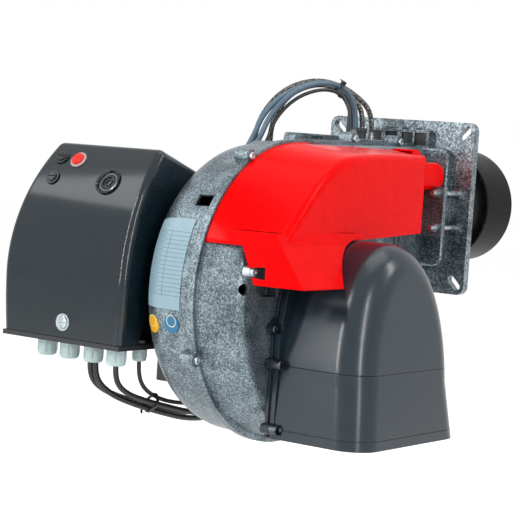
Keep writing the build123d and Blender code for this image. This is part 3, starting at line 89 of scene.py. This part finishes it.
# lines and leads: route points in millimetres, as in the solid model
cordSettings = {
    "grey_cable_1": {
        "width": 7.5,
        "length": 0.401,
        "stiffness": "medium",
        "points": [
            (-107, -365.5, -9.4), (-107, -333.2, 6.4), (-104, -294, 22), (-96, -260, 38),
            (-84, -239, 74), (-78, -225, 112), (-67, -191, 146), (-51, -147, 163), (-37, -107, 158),
            (-27, -90, 130), (-27, -90, 100),
        ],
    },
    "grey_cable_2": {
        "width": 7.5,
        "length": 0.404,
        "stiffness": "medium",
        "points": [
            (-118, -365.5, -9.4), (-118, -333.2, 6.4), (-115, -294, 24), (-105, -260, 40),
            (-93, -241, 76), (-88, -226, 115), (-75, -188, 147), (-59, -144, 163), (-45, -104, 158),
            (-36, -87, 130), (-36, -87, 100),
        ],
    },
    "oil_hose_1": {
        "width": 7.5,
        "length": 0.553,
        "stiffness": "stiff",
        "points": [
            (-260, -262, -99), (-260, -236, -99), (-252, -208, -86), (-224, -196, -52),
            (-180, -200, -16), (-142, -210, 14), (-118, -214, 42), (-104, -224, 72),
            (-101, -214, 111), (-91, -182, 147), (-75, -138, 165), (-59, -95, 163), (-40, -66, 146),
            (-22, -56, 124), (-22, -56, 98),
        ],
    },
    "oil_hose_2": {
        "width": 7.5,
        "length": 0.563,
        "stiffness": "stiff",
        "points": [
            (-260, -262, -131), (-260, -234, -131), (-256, -200, -118), (-232, -182, -84),
            (-190, -182, -44), (-150, -188, -8), (-114, -196, 26), (-88, -206, 65),
            (-89, -205, 102), (-82, -182, 141), (-67, -140, 160), (-54, -100, 158), (-34, -76, 138),
            (-26, -74, 118), (-26, -74, 98),
        ],
    },
    "signal_lead": {
        "width": 5.0,
        "length": 0.377,
        "stiffness": "limp",
        "points": [
            (-93.5, -365.5, -9.4), (-93.5, -333.2, 6.4), (-92, -296, 22), (-88, -262, 38),
            (-77, -232, 68), (-74, -219, 107), (-64, -187, 138), (-50, -148, 153), (-36, -120, 150),
            (-22, -114, 128), (-18, -122, 110), (-18, -122, 94),
        ],
    },
    "bottom_lead_1": {
        "width": 7.8,
        "length": 0.394,
        "stiffness": "limp",
        "points": [
            (-141.3, -488, -218), (-141.3, -488, -236), (-134, -471, -254), (-118, -440, -267),
            (-104, -400, -277), (-98, -350, -289), (-98, -305, -287), (-102, -260, -278),
            (-105, -244, -261), (-108, -244, -238), (-111, -260, -220.5), (-111, -292, -222),
            (-111, -322, -222),
        ],
    },
    "bottom_lead_2": {
        "width": 7.8,
        "length": 0.445,
        "stiffness": "limp",
        "points": [
            (-132.7, -488, -218), (-132.7, -488, -237), (-123, -471, -257), (-108, -440, -271),
            (-94, -400, -283), (-88, -350, -295), (-88, -300, -297), (-90, -247, -288),
            (-92, -225, -266), (-94, -225, -236), (-97, -247, -212.5), (-98, -286, -214),
            (-98, -322, -214),
        ],
    },
    "bottom_lead_3": {
        "width": 7.2,
        "length": 0.641,
        "stiffness": "limp",
        "points": [
            (-99, -488, -218), (-99, -488, -235), (-97, -472, -252), (-92, -443, -263),
            (-83, -402, -274), (-78, -354, -285), (-76, -302, -291), (-78, -246, -279),
            (-84, -213, -246), (-95, -199, -205), (-116, -196, -162), (-146, -194, -122),
            (-186, -200, -90), (-226, -214, -70), (-258, -244, -65), (-258, -286, -65),
        ],
    },
    "bottom_lead_4": {
        "width": 5.5,
        "length": 0.360,
        "stiffness": "limp",
        "points": [
            (-91.5, -452, -213), (-91.5, -452, -230), (-92, -439, -249), (-92, -414, -262),
            (-92, -386, -270), (-92, -352, -275), (-91, -318, -276), (-89, -284, -272),
            (-87, -252, -266), (-85.5, -237, -252), (-84, -237, -232), (-84, -251, -217.5),
            (-84, -288, -219), (-84, -322, -219),
        ],
    },
}
cordPieces = {}


def makeCord(nodeName, facts):
    curve = bpy.data.curves.new(nodeName + "_line", "CURVE")
    curve.dimensions = "3D"
    curve.resolution_u = 10
    curve.bevel_depth = facts["width"] / 2000
    curve.bevel_resolution = 4
    curve.use_fill_caps = True
    spline = curve.splines.new("NURBS")
    spline.points.add(len(facts["points"]) - 1)
    for point, place in zip(spline.points, facts["points"]):
        point.co = mm(*place) + (1.0,)
    spline.order_u = 3
    spline.use_endpoint_u = True
    piece = linkObject(nodeName + "_line", curve)
    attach(piece, "burner")
    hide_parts(nodeName)
    cordPieces[nodeName] = piece


for nodeName, facts in cordSettings.items():
    makeCord(nodeName, facts)
print("lines and leads made")


# cable ties round the bundles, each a band with a head and a short tail
tieSettings = {
    "cable_tie_top": {
        "cords": ["grey_cable_1", "grey_cable_2", "signal_lead"],
        "place": (-39.6, -114.9, 157.6),
        "headAngle": 60.0,
    },
    "cable_tie_bottom": {
        "cords": ["bottom_lead_1", "bottom_lead_2", "bottom_lead_3", "bottom_lead_4"],
        "place": (-108.8, -413.2, -273.7),
        "headAngle": 200.0,
    },
}
tieShape = {
    "width": 4.2,
    "inside": 0.1,
    "outside": 1.4,
    "head": (5.4, 4.6, 6.4),
    "headSink": 1.0,
    "tail": (1.2, 11.0, 3.2),
    "rounding": 0.4,
    "steps": 48,
    "searchReach": 60.0,
}


# points along a cord's middle line, as the smooth curve runs
def cordMiddle(points):
    spots = [Vector(point) for point in points]
    trail = []
    for i in range(1, len(spots) - 1):
        start = spots[0] if i == 1 else (spots[i - 1] + spots[i]) / 2
        end = spots[-1] if i == len(spots) - 2 else (spots[i] + spots[i + 1]) / 2
        for step in range(16):
            t = step / 16
            trail.append(start * (1 - t) ** 2 + spots[i] * 2 * t * (1 - t) + end * t * t)
    return trail


def addBlock(corners, faces, centre, axes, sizes):
    first = len(corners)
    for a in (-0.5, 0.5):
        for b in (-0.5, 0.5):
            for c in (-0.5, 0.5):
                shift = axes[0] * a * sizes[0] + axes[1] * b * sizes[1] + axes[2] * c * sizes[2]
                corners.append(centre + shift)
    sides = [(0, 1, 3, 2), (4, 6, 7, 5), (0, 4, 5, 1), (2, 3, 7, 6), (0, 2, 6, 4), (1, 5, 7, 3)]
    faces.extend(tuple(first + i for i in side) for side in sides)


def makeTie(name, facts):
    place = Vector(facts["place"])
    trail = cordMiddle(cordSettings[facts["cords"][0]]["points"])
    nearest = min(range(1, len(trail) - 1), key=lambda i: (trail[i] - place).length)
    along = (trail[nearest + 1] - trail[nearest - 1]).normalized()
    side = along.cross(Vector((0, 0, 1))).normalized()
    up = side.cross(along)
    rounds = []
    for cordName in facts["cords"]:
        middle = cordMiddle(cordSettings[cordName]["points"])
        near = [spot for spot in middle if (spot - place).length < tieShape["searchReach"]]
        spot = min(near, key=lambda spot: abs((spot - place).dot(along))) - place
        rounds.append((spot.dot(side), spot.dot(up), cordSettings[cordName]["width"] / 2))

    def rimSpot(angle, offset):
        u, v = math.cos(angle), math.sin(angle)
        cx, cy, radius = max(rounds, key=lambda circle: circle[0] * u + circle[1] * v + circle[2])
        return place + side * (cx + (radius + offset) * u) + up * (cy + (radius + offset) * v)

    corners, faces = [], []
    half = along * tieShape["width"] / 2
    steps = tieShape["steps"]
    for i in range(steps):
        angle = math.tau * i / steps
        inner, outer = rimSpot(angle, tieShape["inside"]), rimSpot(angle, tieShape["outside"])
        corners += [inner - half, outer - half, outer + half, inner + half]
        here, after = i * 4, (i + 1) % steps * 4
        faces += [(here + j, after + j, after + (j + 1) % 4, here + (j + 1) % 4) for j in range(4)]
    angle = math.radians(facts["headAngle"])
    outward = side * math.cos(angle) + up * math.sin(angle)
    onward = up * math.cos(angle) - side * math.sin(angle)
    base = rimSpot(angle, tieShape["outside"] + tieShape["head"][0] / 2 - tieShape["headSink"])
    addBlock(corners, faces, base, (outward, onward, along), tieShape["head"])
    tailMiddle = base + onward * tieShape["tail"][1] / 2
    addBlock(corners, faces, tailMiddle, (outward, onward, along), tieShape["tail"])
    mesh = bpy.data.meshes.new(name)
    mesh.from_pydata([corner / 1000 for corner in corners], [], faces)
    mesh.update()
    piece = linkObject(name, mesh)
    soften = piece.modifiers.new("soften", "BEVEL")
    soften.width = tieShape["rounding"] / 1000
    soften.segments = 2
    soften.limit_method = "ANGLE"
    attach(piece, "burner")
    return piece


tiePieces = [makeTie(name, facts) for name, facts in tieSettings.items()]
print("cable ties made")


# helpers that build up a finish from shader nodes
def newFinish(name):
    finish = bpy.data.materials.new(name)
    finish.use_nodes = True
    tree = finish.node_tree
    return finish, tree, tree.nodes["Principled BSDF"]


def addNode(tree, kind, inputs=None, **settings):
    node = tree.nodes.new("ShaderNode" + kind)
    for key, value in settings.items():
        setattr(node, key, value)
    # a socket is linked, and anything else is set as the value
    for key, value in (inputs or {}).items():
        if isinstance(value, bpy.types.NodeSocket):
            tree.links.new(value, node.inputs[key])
        else:
            node.inputs[key].default_value = value
    return node


def placeOf(tree):
    return addNode(tree, "TexCoord").outputs["Object"]


def cloud(tree, place, scale, detail=2.0, roughness=0.5, stretch=None):
    if stretch:
        place = addNode(tree, "Mapping", {"Vector": place, "Scale": stretch}).outputs[0]
    facts = {"Vector": place, "Scale": scale, "Detail": detail, "Roughness": roughness}
    return addNode(tree, "TexNoise", facts).outputs["Fac"]


def sums(tree, operation, a, b):
    return addNode(tree, "Math", {0: a, 1: b}, operation=operation).outputs[0]


def allOf(tree, *amounts):
    total = amounts[0]
    for amount in amounts[1:]:
        total = sums(tree, "MULTIPLY", total, amount)
    return total


def shades(tree, amount, stops):
    ramp = addNode(tree, "ValToRGB", {"Fac": amount})
    cells = ramp.color_ramp.elements
    while len(cells) < len(stops):
        cells.new(0.5)
    for cell, (at, colour) in zip(cells, stops):
        cell.position = at
        cell.color = colour
    return ramp.outputs["Color"]


def blend(tree, amount, first, second):
    return addNode(tree, "Mix", {"Factor": amount, 6: first, 7: second}, data_type="RGBA").outputs[2]


def spread(tree, amount, low, high):
    return addNode(tree, "MapRange", {"Value": amount, "To Min": low, "To Max": high}).outputs["Result"]


def dents(tree, height, strength, depth, rounding=0.0007):
    # edges are softened by the rounding, in metres, before the dents go on
    soft = addNode(tree, "Bevel", {"Radius": rounding}, samples=4).outputs["Normal"]
    facts = {"Height": height, "Strength": strength, "Distance": depth, "Normal": soft}
    return addNode(tree, "Bump", facts).outputs["Normal"]


def joinTo(tree, shader, **inputs):
    names = {"colour": "Base Color", "roughness": "Roughness", "normal": "Normal", "metallic": "Metallic"}
    for key, socket in inputs.items():
        tree.links.new(socket, shader.inputs[names[key]])


def setOn(shader, **values):
    names = {
        "colour": "Base Color", "roughness": "Roughness", "metallic": "Metallic",
        "specular": "Specular IOR Level",
    }
    for key, value in values.items():
        shader.inputs[names[key]].default_value = value


# cast aluminium: blotches of darker and lighter skin, fine specks and tiny pits
castSettings = {
    "housing": {
        "dark": screenColour(58, 67, 73),
        "middle": screenColour(104, 118, 125),
        "light": screenColour(160, 174, 180),
        "speckSize": 430.0,
        "cloudSize": 36.0,
        "rough": (0.24, 0.5),
    },
    "flange": {
        "dark": screenColour(50, 57, 63),
        "middle": screenColour(106, 117, 123),
        "light": screenColour(176, 188, 194),
        "speckSize": 380.0,
        "cloudSize": 30.0,
        "rough": (0.22, 0.46),
    },
}


def makeCastAluminium(name, facts):
    finish, tree, shader = newFinish(name)
    place = placeOf(tree)
    specks = cloud(tree, place, facts["speckSize"], 3.0, 0.7)
    clouds = cloud(tree, place, facts["cloudSize"], 5.0, 0.62)
    pits = addNode(tree, "TexVoronoi", {"Vector": place, "Scale": 260.0}).outputs["Distance"]
    mixed = sums(tree, "ADD", allOf(tree, specks, 0.68), allOf(tree, clouds, 0.32))
    stops = [(0.38, facts["dark"]), (0.5, facts["middle"]), (0.62, facts["light"])]
    colour = shades(tree, mixed, stops)
    # the tiny pits are darker, down to about half the tone at their middles
    pitDarkening = shades(tree, pits, [(0.05, (0.35, 0.34, 0.33, 1)), (0.16, (1, 1, 1, 1))])
    darkened = {"Factor": 0.7, 6: colour, 7: pitDarkening}
    colour = addNode(tree, "Mix", darkened, data_type="RGBA", blend_type="MULTIPLY").outputs[2]
    height = sums(tree, "ADD", specks, allOf(tree, pits, 0.4))
    joinTo(
        tree, shader,
        colour=colour,
        roughness=spread(tree, clouds, *facts["rough"]),
        normal=dents(tree, height, 0.3, 0.0006, 0.0012),
    )
    setOn(shader, metallic=0.72)
    return finish


def makePlatedSteel(name, colour, low, high):
    finish, tree, shader = newFinish(name)
    place = placeOf(tree)
    grain = cloud(tree, place, 900.0, 3.0, 0.6)
    clouds = cloud(tree, place, 120.0, 3.0, 0.6)
    dark = tuple(c * 0.6 for c in colour[:3]) + (1.0,)
    joinTo(
        tree, shader,
        colour=shades(tree, clouds, [(0.35, dark), (0.62, colour)]),
        roughness=spread(tree, grain, low, high),
        normal=dents(tree, grain, 0.1, 0.0002, 0.0004),
    )
    setOn(shader, metallic=0.95)
    return finish


# smooth mouldings: slow ripples, dust in the shine and a slightly worn tone
def makeGloss(name, colour, roughness, rippleStrength, shine=0.3):
    finish, tree, shader = newFinish(name)
    place = placeOf(tree)
    ripples = cloud(tree, place, 14.0, 2.0, 0.5)
    dust = cloud(tree, place, 1400.0, 2.0, 0.5)
    lifted = tuple(min(1.0, c * 1.12 + 0.002) for c in colour[:3]) + (1.0,)
    joinTo(
        tree, shader,
        colour=shades(tree, cloud(tree, place, 60.0, 3.0, 0.6), [(0.3, colour), (0.75, lifted)]),
        roughness=spread(tree, dust, roughness * 0.8, roughness * 1.3),
        normal=dents(tree, ripples, rippleStrength, 0.004, 0.001),
    )
    setOn(shader, specular=shine)
    return finish


def makeMoulded(name, colour, roughness, grainSize=900.0, grainStrength=0.25):
    finish, tree, shader = newFinish(name)
    place = placeOf(tree)
    grain = cloud(tree, place, grainSize, 3.0, 0.6)
    clouds = cloud(tree, place, 45.0, 3.0, 0.6)
    lifted = tuple(min(1.0, c * 1.35 + 0.004) for c in colour[:3]) + (1.0,)
    joinTo(
        tree, shader,
        colour=shades(tree, clouds, [(0.3, colour), (0.72, lifted)]),
        roughness=spread(tree, grain, roughness * 0.85, min(1.0, roughness * 1.2)),
        normal=dents(tree, grain, grainStrength, 0.0003, 0.0006),
    )
    return finish


# black heat-proof paint with a few bright chips
tubeSettings = {
    "deep": screenColour(8, 8, 9),
    "worn": screenColour(24, 24, 25),
    "chip": screenColour(140, 138, 134),
}


def makeTubePaint():
    finish, tree, shader = newFinish("tubePaint")
    place = placeOf(tree)
    chips = cloud(tree, place, 210.0, 5.0, 0.75)
    clouds = cloud(tree, place, 30.0, 3.0, 0.6)
    stops = [(0.3, tubeSettings["deep"]), (0.66, tubeSettings["worn"]), (0.74, tubeSettings["chip"])]
    joinTo(
        tree, shader,
        colour=shades(tree, chips, stops),
        roughness=spread(tree, clouds, 0.2, 0.42),
        normal=dents(tree, chips, 0.2, 0.0004),
    )
    setOn(shader, specular=0.06)
    return finish


braidSettings = {
    "wire": screenColour(176, 176, 172),
    "shade": screenColour(84, 84, 82),
    "gap": screenColour(24, 24, 24),
    "pitch": 620.0,
}


def makeBraid():
    finish, tree, shader = newFinish("wireBraid")
    place = placeOf(tree)
    facts = {"Vector": place, "Scale": braidSettings["pitch"]}
    weave = addNode(tree, "TexVoronoi", facts).outputs["Distance"]
    stops = [(0.1, braidSettings["wire"]), (0.45, braidSettings["shade"]), (0.7, braidSettings["gap"])]
    joinTo(
        tree, shader,
        colour=shades(tree, weave, stops),
        roughness=spread(tree, weave, 0.3, 0.7),
        normal=dents(tree, weave, 0.7, 0.0006, 0.0002),
    )
    setOn(shader, metallic=0.7)
    return finish


# bare ruled panel: rows, a column rule and plain bars, with nothing written on it
labelSettings = {
    "paper": screenColour(156, 186, 198),
    "ink": screenColour(74, 96, 114),
    "rowPitch": 5.2,
    "rowsTop": -40.0,
    "rowsEnd": -120.0,
    "columnRule": -22.0,
    "ruleHalf": 0.3,
    "barReach": (-46.0, -30.0),
}


def makeLabel():
    finish, tree, shader = newFinish("ruledLabel")
    place = placeOf(tree)
    across, _, up = addNode(tree, "SeparateXYZ", {"Vector": place}).outputs
    row = sums(tree, "FRACT", sums(tree, "DIVIDE", up, labelSettings["rowPitch"] / 1000), 0.0)
    below = sums(tree, "LESS_THAN", up, labelSettings["rowsTop"] / 1000)
    above = sums(tree, "GREATER_THAN", up, labelSettings["rowsEnd"] / 1000)
    inBlock = allOf(tree, below, above)
    rules = allOf(tree, sums(tree, "LESS_THAN", row, 0.09), inBlock)
    offRule = sums(tree, "SUBTRACT", across, labelSettings["columnRule"] / 1000)
    onRule = sums(tree, "LESS_THAN", sums(tree, "ABSOLUTE", offRule, 0.0), labelSettings["ruleHalf"] / 1000)
    column = allOf(tree, onRule, inBlock)
    left, right = [v / 1000 for v in labelSettings["barReach"]]
    inRow = allOf(tree, sums(tree, "GREATER_THAN", row, 0.42), sums(tree, "LESS_THAN", row, 0.68))
    pastLeft = sums(tree, "GREATER_THAN", across, left)
    beforeRight = sums(tree, "LESS_THAN", across, right)
    bars = allOf(tree, inRow, inBlock, pastLeft, beforeRight)
    ink = sums(tree, "MAXIMUM", sums(tree, "MAXIMUM", rules, column), allOf(tree, bars, 0.45))
    worn = cloud(tree, place, 90.0, 4.0, 0.7)
    paper = blend(tree, allOf(tree, worn, 0.3), labelSettings["paper"], labelSettings["ink"])
    colour = blend(tree, ink, paper, labelSettings["ink"])
    joinTo(
        tree, shader,
        colour=colour,
        roughness=spread(tree, worn, 0.22, 0.4),
        normal=dents(tree, worn, 0.12, 0.0003, 0.0003),
    )
    return finish


# two plain round stickers, one yellow and one blue, each with a pale ring
stickerSettings = {
    "split": -22.0,
    "yellow": screenColour(236, 176, 30),
    "blue": screenColour(30, 116, 160),
    "pale": screenColour(236, 226, 180),
    "centreX": (-39.0, -6.0),
    "centreZ": (-153.5, -150.5),
    "ring": (6.6, 7.6),
}


def makeStickers():
    finish, tree, shader = newFinish("roundStickers")
    place = placeOf(tree)
    across, _, up = addNode(tree, "SeparateXYZ", {"Vector": place}).outputs
    isBlue = sums(tree, "GREATER_THAN", across, stickerSettings["split"] / 1000)
    colour = blend(tree, isBlue, stickerSettings["yellow"], stickerSettings["blue"])
    centreX = spread(tree, isBlue, *[v / 1000 for v in stickerSettings["centreX"]])
    centreZ = spread(tree, isBlue, *[v / 1000 for v in stickerSettings["centreZ"]])
    offX = sums(tree, "SUBTRACT", across, centreX)
    offZ = sums(tree, "SUBTRACT", up, centreZ)
    squares = sums(tree, "ADD", allOf(tree, offX, offX), allOf(tree, offZ, offZ))
    reach = sums(tree, "SQRT", squares, 0.0)
    inner, outer = [v / 1000 for v in stickerSettings["ring"]]
    ring = allOf(tree, sums(tree, "GREATER_THAN", reach, inner), sums(tree, "LESS_THAN", reach, outer))
    worn = cloud(tree, place, 160.0, 3.0, 0.6)
    joinTo(
        tree, shader,
        colour=blend(tree, ring, colour, stickerSettings["pale"]),
        roughness=spread(tree, worn, 0.25, 0.42),
        normal=dents(tree, worn, 0.1, 0.0002, 0.0003),
    )
    return finish


finishes = {
    "cast": makeCastAluminium("castHousing", castSettings["housing"]),
    "castDark": makeCastAluminium("castFlange", castSettings["flange"]),
    "zinc": makePlatedSteel("zincPlate", screenColour(196, 206, 210), 0.18, 0.4),
    "steel": makePlatedSteel("satinSteel", screenColour(160, 162, 164), 0.28, 0.5),
    "brass": makePlatedSteel("machinedBrass", screenColour(196, 160, 92), 0.2, 0.4),
    "red": makeGloss("redCoverGloss", screenColour(244, 2, 5), 0.2, 0.04, 0.04),
    "button": makeGloss("redButton", screenColour(240, 30, 14), 0.26, 0.03, 0.3),
    "bezel": makeGloss("clearBezel", screenColour(176, 160, 158), 0.2, 0.03, 0.5),
    "charcoal": makeGloss("charcoalGloss", screenColour(12, 27, 35), 0.12, 0.05, 0.5),
    "hood": makeGloss("hoodSatin", screenColour(22, 38, 48), 0.22, 0.03, 0.5),
    "black": makeMoulded("blackMoulding", screenColour(28, 29, 31), 0.5),
    "blackGloss": makeGloss("blackGloss", screenColour(14, 15, 16), 0.14, 0.04, 0.5),
    "boltBlack": makePlatedSteel("blackBolt", screenColour(92, 96, 100), 0.22, 0.44),
    "rubber": makeMoulded("blackRubber", screenColour(22, 23, 25), 0.36, 600.0, 0.15),
    "sheath": makeMoulded("blueGreySheath", screenColour(78, 100, 118), 0.34, 600.0, 0.12),
    "pale": makeMoulded("paleGland", screenColour(178, 197, 197), 0.38, 500.0, 0.15),
    "ceramic": makeGloss("glazedCeramic", screenColour(226, 222, 208), 0.15, 0.03),
    "motor": makeMoulded("motorPaint", screenColour(96, 100, 104), 0.36, 500.0, 0.3),
    "tube": makeTubePaint(),
    "braid": makeBraid(),
    "label": makeLabel(),
    "sticker": makeStickers(),
}

nodeFinish = {
    "boiler_flange": "castDark", "line_grommets": "rubber", "flange_studs": "zinc", "blast_tube": "tube",
    "swirl_disc": "steel", "nozzle_holder": "brass", "nozzles": "brass", "ignition_electrodes": "ceramic",
    "electrode_clamp": "steel", "head_cover": "cast", "lid_fittings": "steel", "pressure_tap": "black",
    "left_housing": "cast", "right_housing": "cast", "housing_screws": "zinc", "red_cover": "red",
    "cover_screws": "zinc", "ignition_transformer": "black", "intake_adapter": "hood", "intake_hood": "hood",
    "intake_skirt": "hood", "intake_bolts": "boltBlack", "damper_flap": "zinc", "damper_lever": "zinc",
    "ram_cylinder": "steel", "ram_rod": "zinc", "fan_wheel": "zinc", "fan_bolt": "zinc",
    "motor_body": "motor", "motor_end_bell": "motor", "motor_screws": "zinc",
    "motor_terminal_box": "blackGloss", "motor_shaft": "steel", "pump_bracket": "cast",
    "pump_coupling": "black", "pump_spindle": "steel",
    "fuel_pump": "cast", "outlet_fittings": "brass", "solenoid_valves": "black", "control_box_base": "black",
    "control_box_cover": "charcoal", "control_unit": "black", "reset_button": "button",
    "reset_bezel": "bezel",
    "fuse_caps": "blackGloss", "ringed_plug": "charcoal", "lid_screw": "zinc", "cable_glands": "pale",
    "rating_panel": "label", "round_stickers": "sticker",
}


def dressNode(name, finish):
    mesh = cadNodes[name].data
    mesh.materials.clear()
    mesh.materials.append(finish)


for name, key in nodeFinish.items():
    if name in cadNodes:
        dressNode(name, finishes[key])
for name, piece in cordPieces.items():
    key = {"grey": "sheath", "oil": "braid", "signal": "rubber", "bottom": "rubber"}[name.split("_")[0]]
    piece.data.materials.append(finishes[key])
for piece in tiePieces:
    piece.data.materials.append(finishes["black"])
print("finishes on")

# floor, backdrop light and lamps; two tall strips give the streaks on the hood and the box
stageSettings = {
    "floorHeight": -0.46,
    "floorSize": 14.0,
    "worldStrength": 0.34,
    "floorGlow": 0.66,
    "lamps": {
        "frontStrip": {"place": (-0.9, -2.45, 0.85), "size": (0.14, 2.2), "power": 30.0},
        "sideStrip": {"place": (2.15, -1.55, 0.85), "size": (0.14, 2.2), "power": 26.0},
        "backPanel": {"place": (1.9, 0.7, 1.9), "size": (0.3, 1.2), "power": 14.0},
        "keyPanel": {"place": (-1.7, -1.9, 1.9), "size": (1.2, 1.0), "power": 10.0},
        "topPanel": {"place": (0.1, 0.0, 2.4), "size": (1.6, 1.6), "power": 12.0},
    },
    "aim": (0.0, -0.25, -0.05),
}


def seenRays(tree):
    rays = addNode(tree, "LightPath").outputs
    mirrored = sums(tree, "MAXIMUM", rays["Is Glossy Ray"], rays["Is Transmission Ray"])
    return sums(tree, "MAXIMUM", rays["Is Camera Ray"], mirrored)


def makeWorld(scene):
    world = bpy.data.worlds.new("paleStudio")
    scene.world = world
    world.use_nodes = True
    tree = world.node_tree
    back = tree.nodes["Background"]
    back.inputs["Color"].default_value = (1, 1, 1, 1)
    strength = spread(tree, seenRays(tree), stageSettings["worldStrength"], 1.0)
    tree.links.new(strength, back.inputs["Strength"])


def makeFloor():
    half = stageSettings["floorSize"] / 2
    mesh = bpy.data.meshes.new("studioFloor")
    h = stageSettings["floorHeight"]
    corners = [(-half, -half, h), (half, -half, h), (half, half, h), (-half, half, h)]
    mesh.from_pydata(corners, [], [(0, 1, 2, 3)])
    floor = linkObject("studioFloor", mesh)
    finish, tree, shader = newFinish("paleFloor")
    setOn(shader, colour=(0.86, 0.86, 0.86, 1), roughness=0.9, specular=0.1)
    shader.inputs["Emission Color"].default_value = (1, 1, 1, 1)
    glow = allOf(tree, seenRays(tree), stageSettings["floorGlow"])
    tree.links.new(glow, shader.inputs["Emission Strength"])
    mesh.materials.append(finish)


def makeLamps():
    for name, facts in stageSettings["lamps"].items():
        data = bpy.data.lights.new(name, "AREA")
        data.shape = "RECTANGLE"
        data.size, data.size_y = facts["size"]
        data.energy = facts["power"]
        lamp = linkObject(name, data)
        aim = Vector(stageSettings["aim"]) - Vector(facts["place"])
        turn = aim.to_track_quat("-Z", "Y").to_matrix().to_4x4()
        lamp.matrix_world = Matrix.Translation(facts["place"]) @ turn


makeWorld(bpy.context.scene)
makeFloor()
makeLamps()
bpy.context.scene.view_settings.view_transform = "Standard"
print("stage and lamps ready")
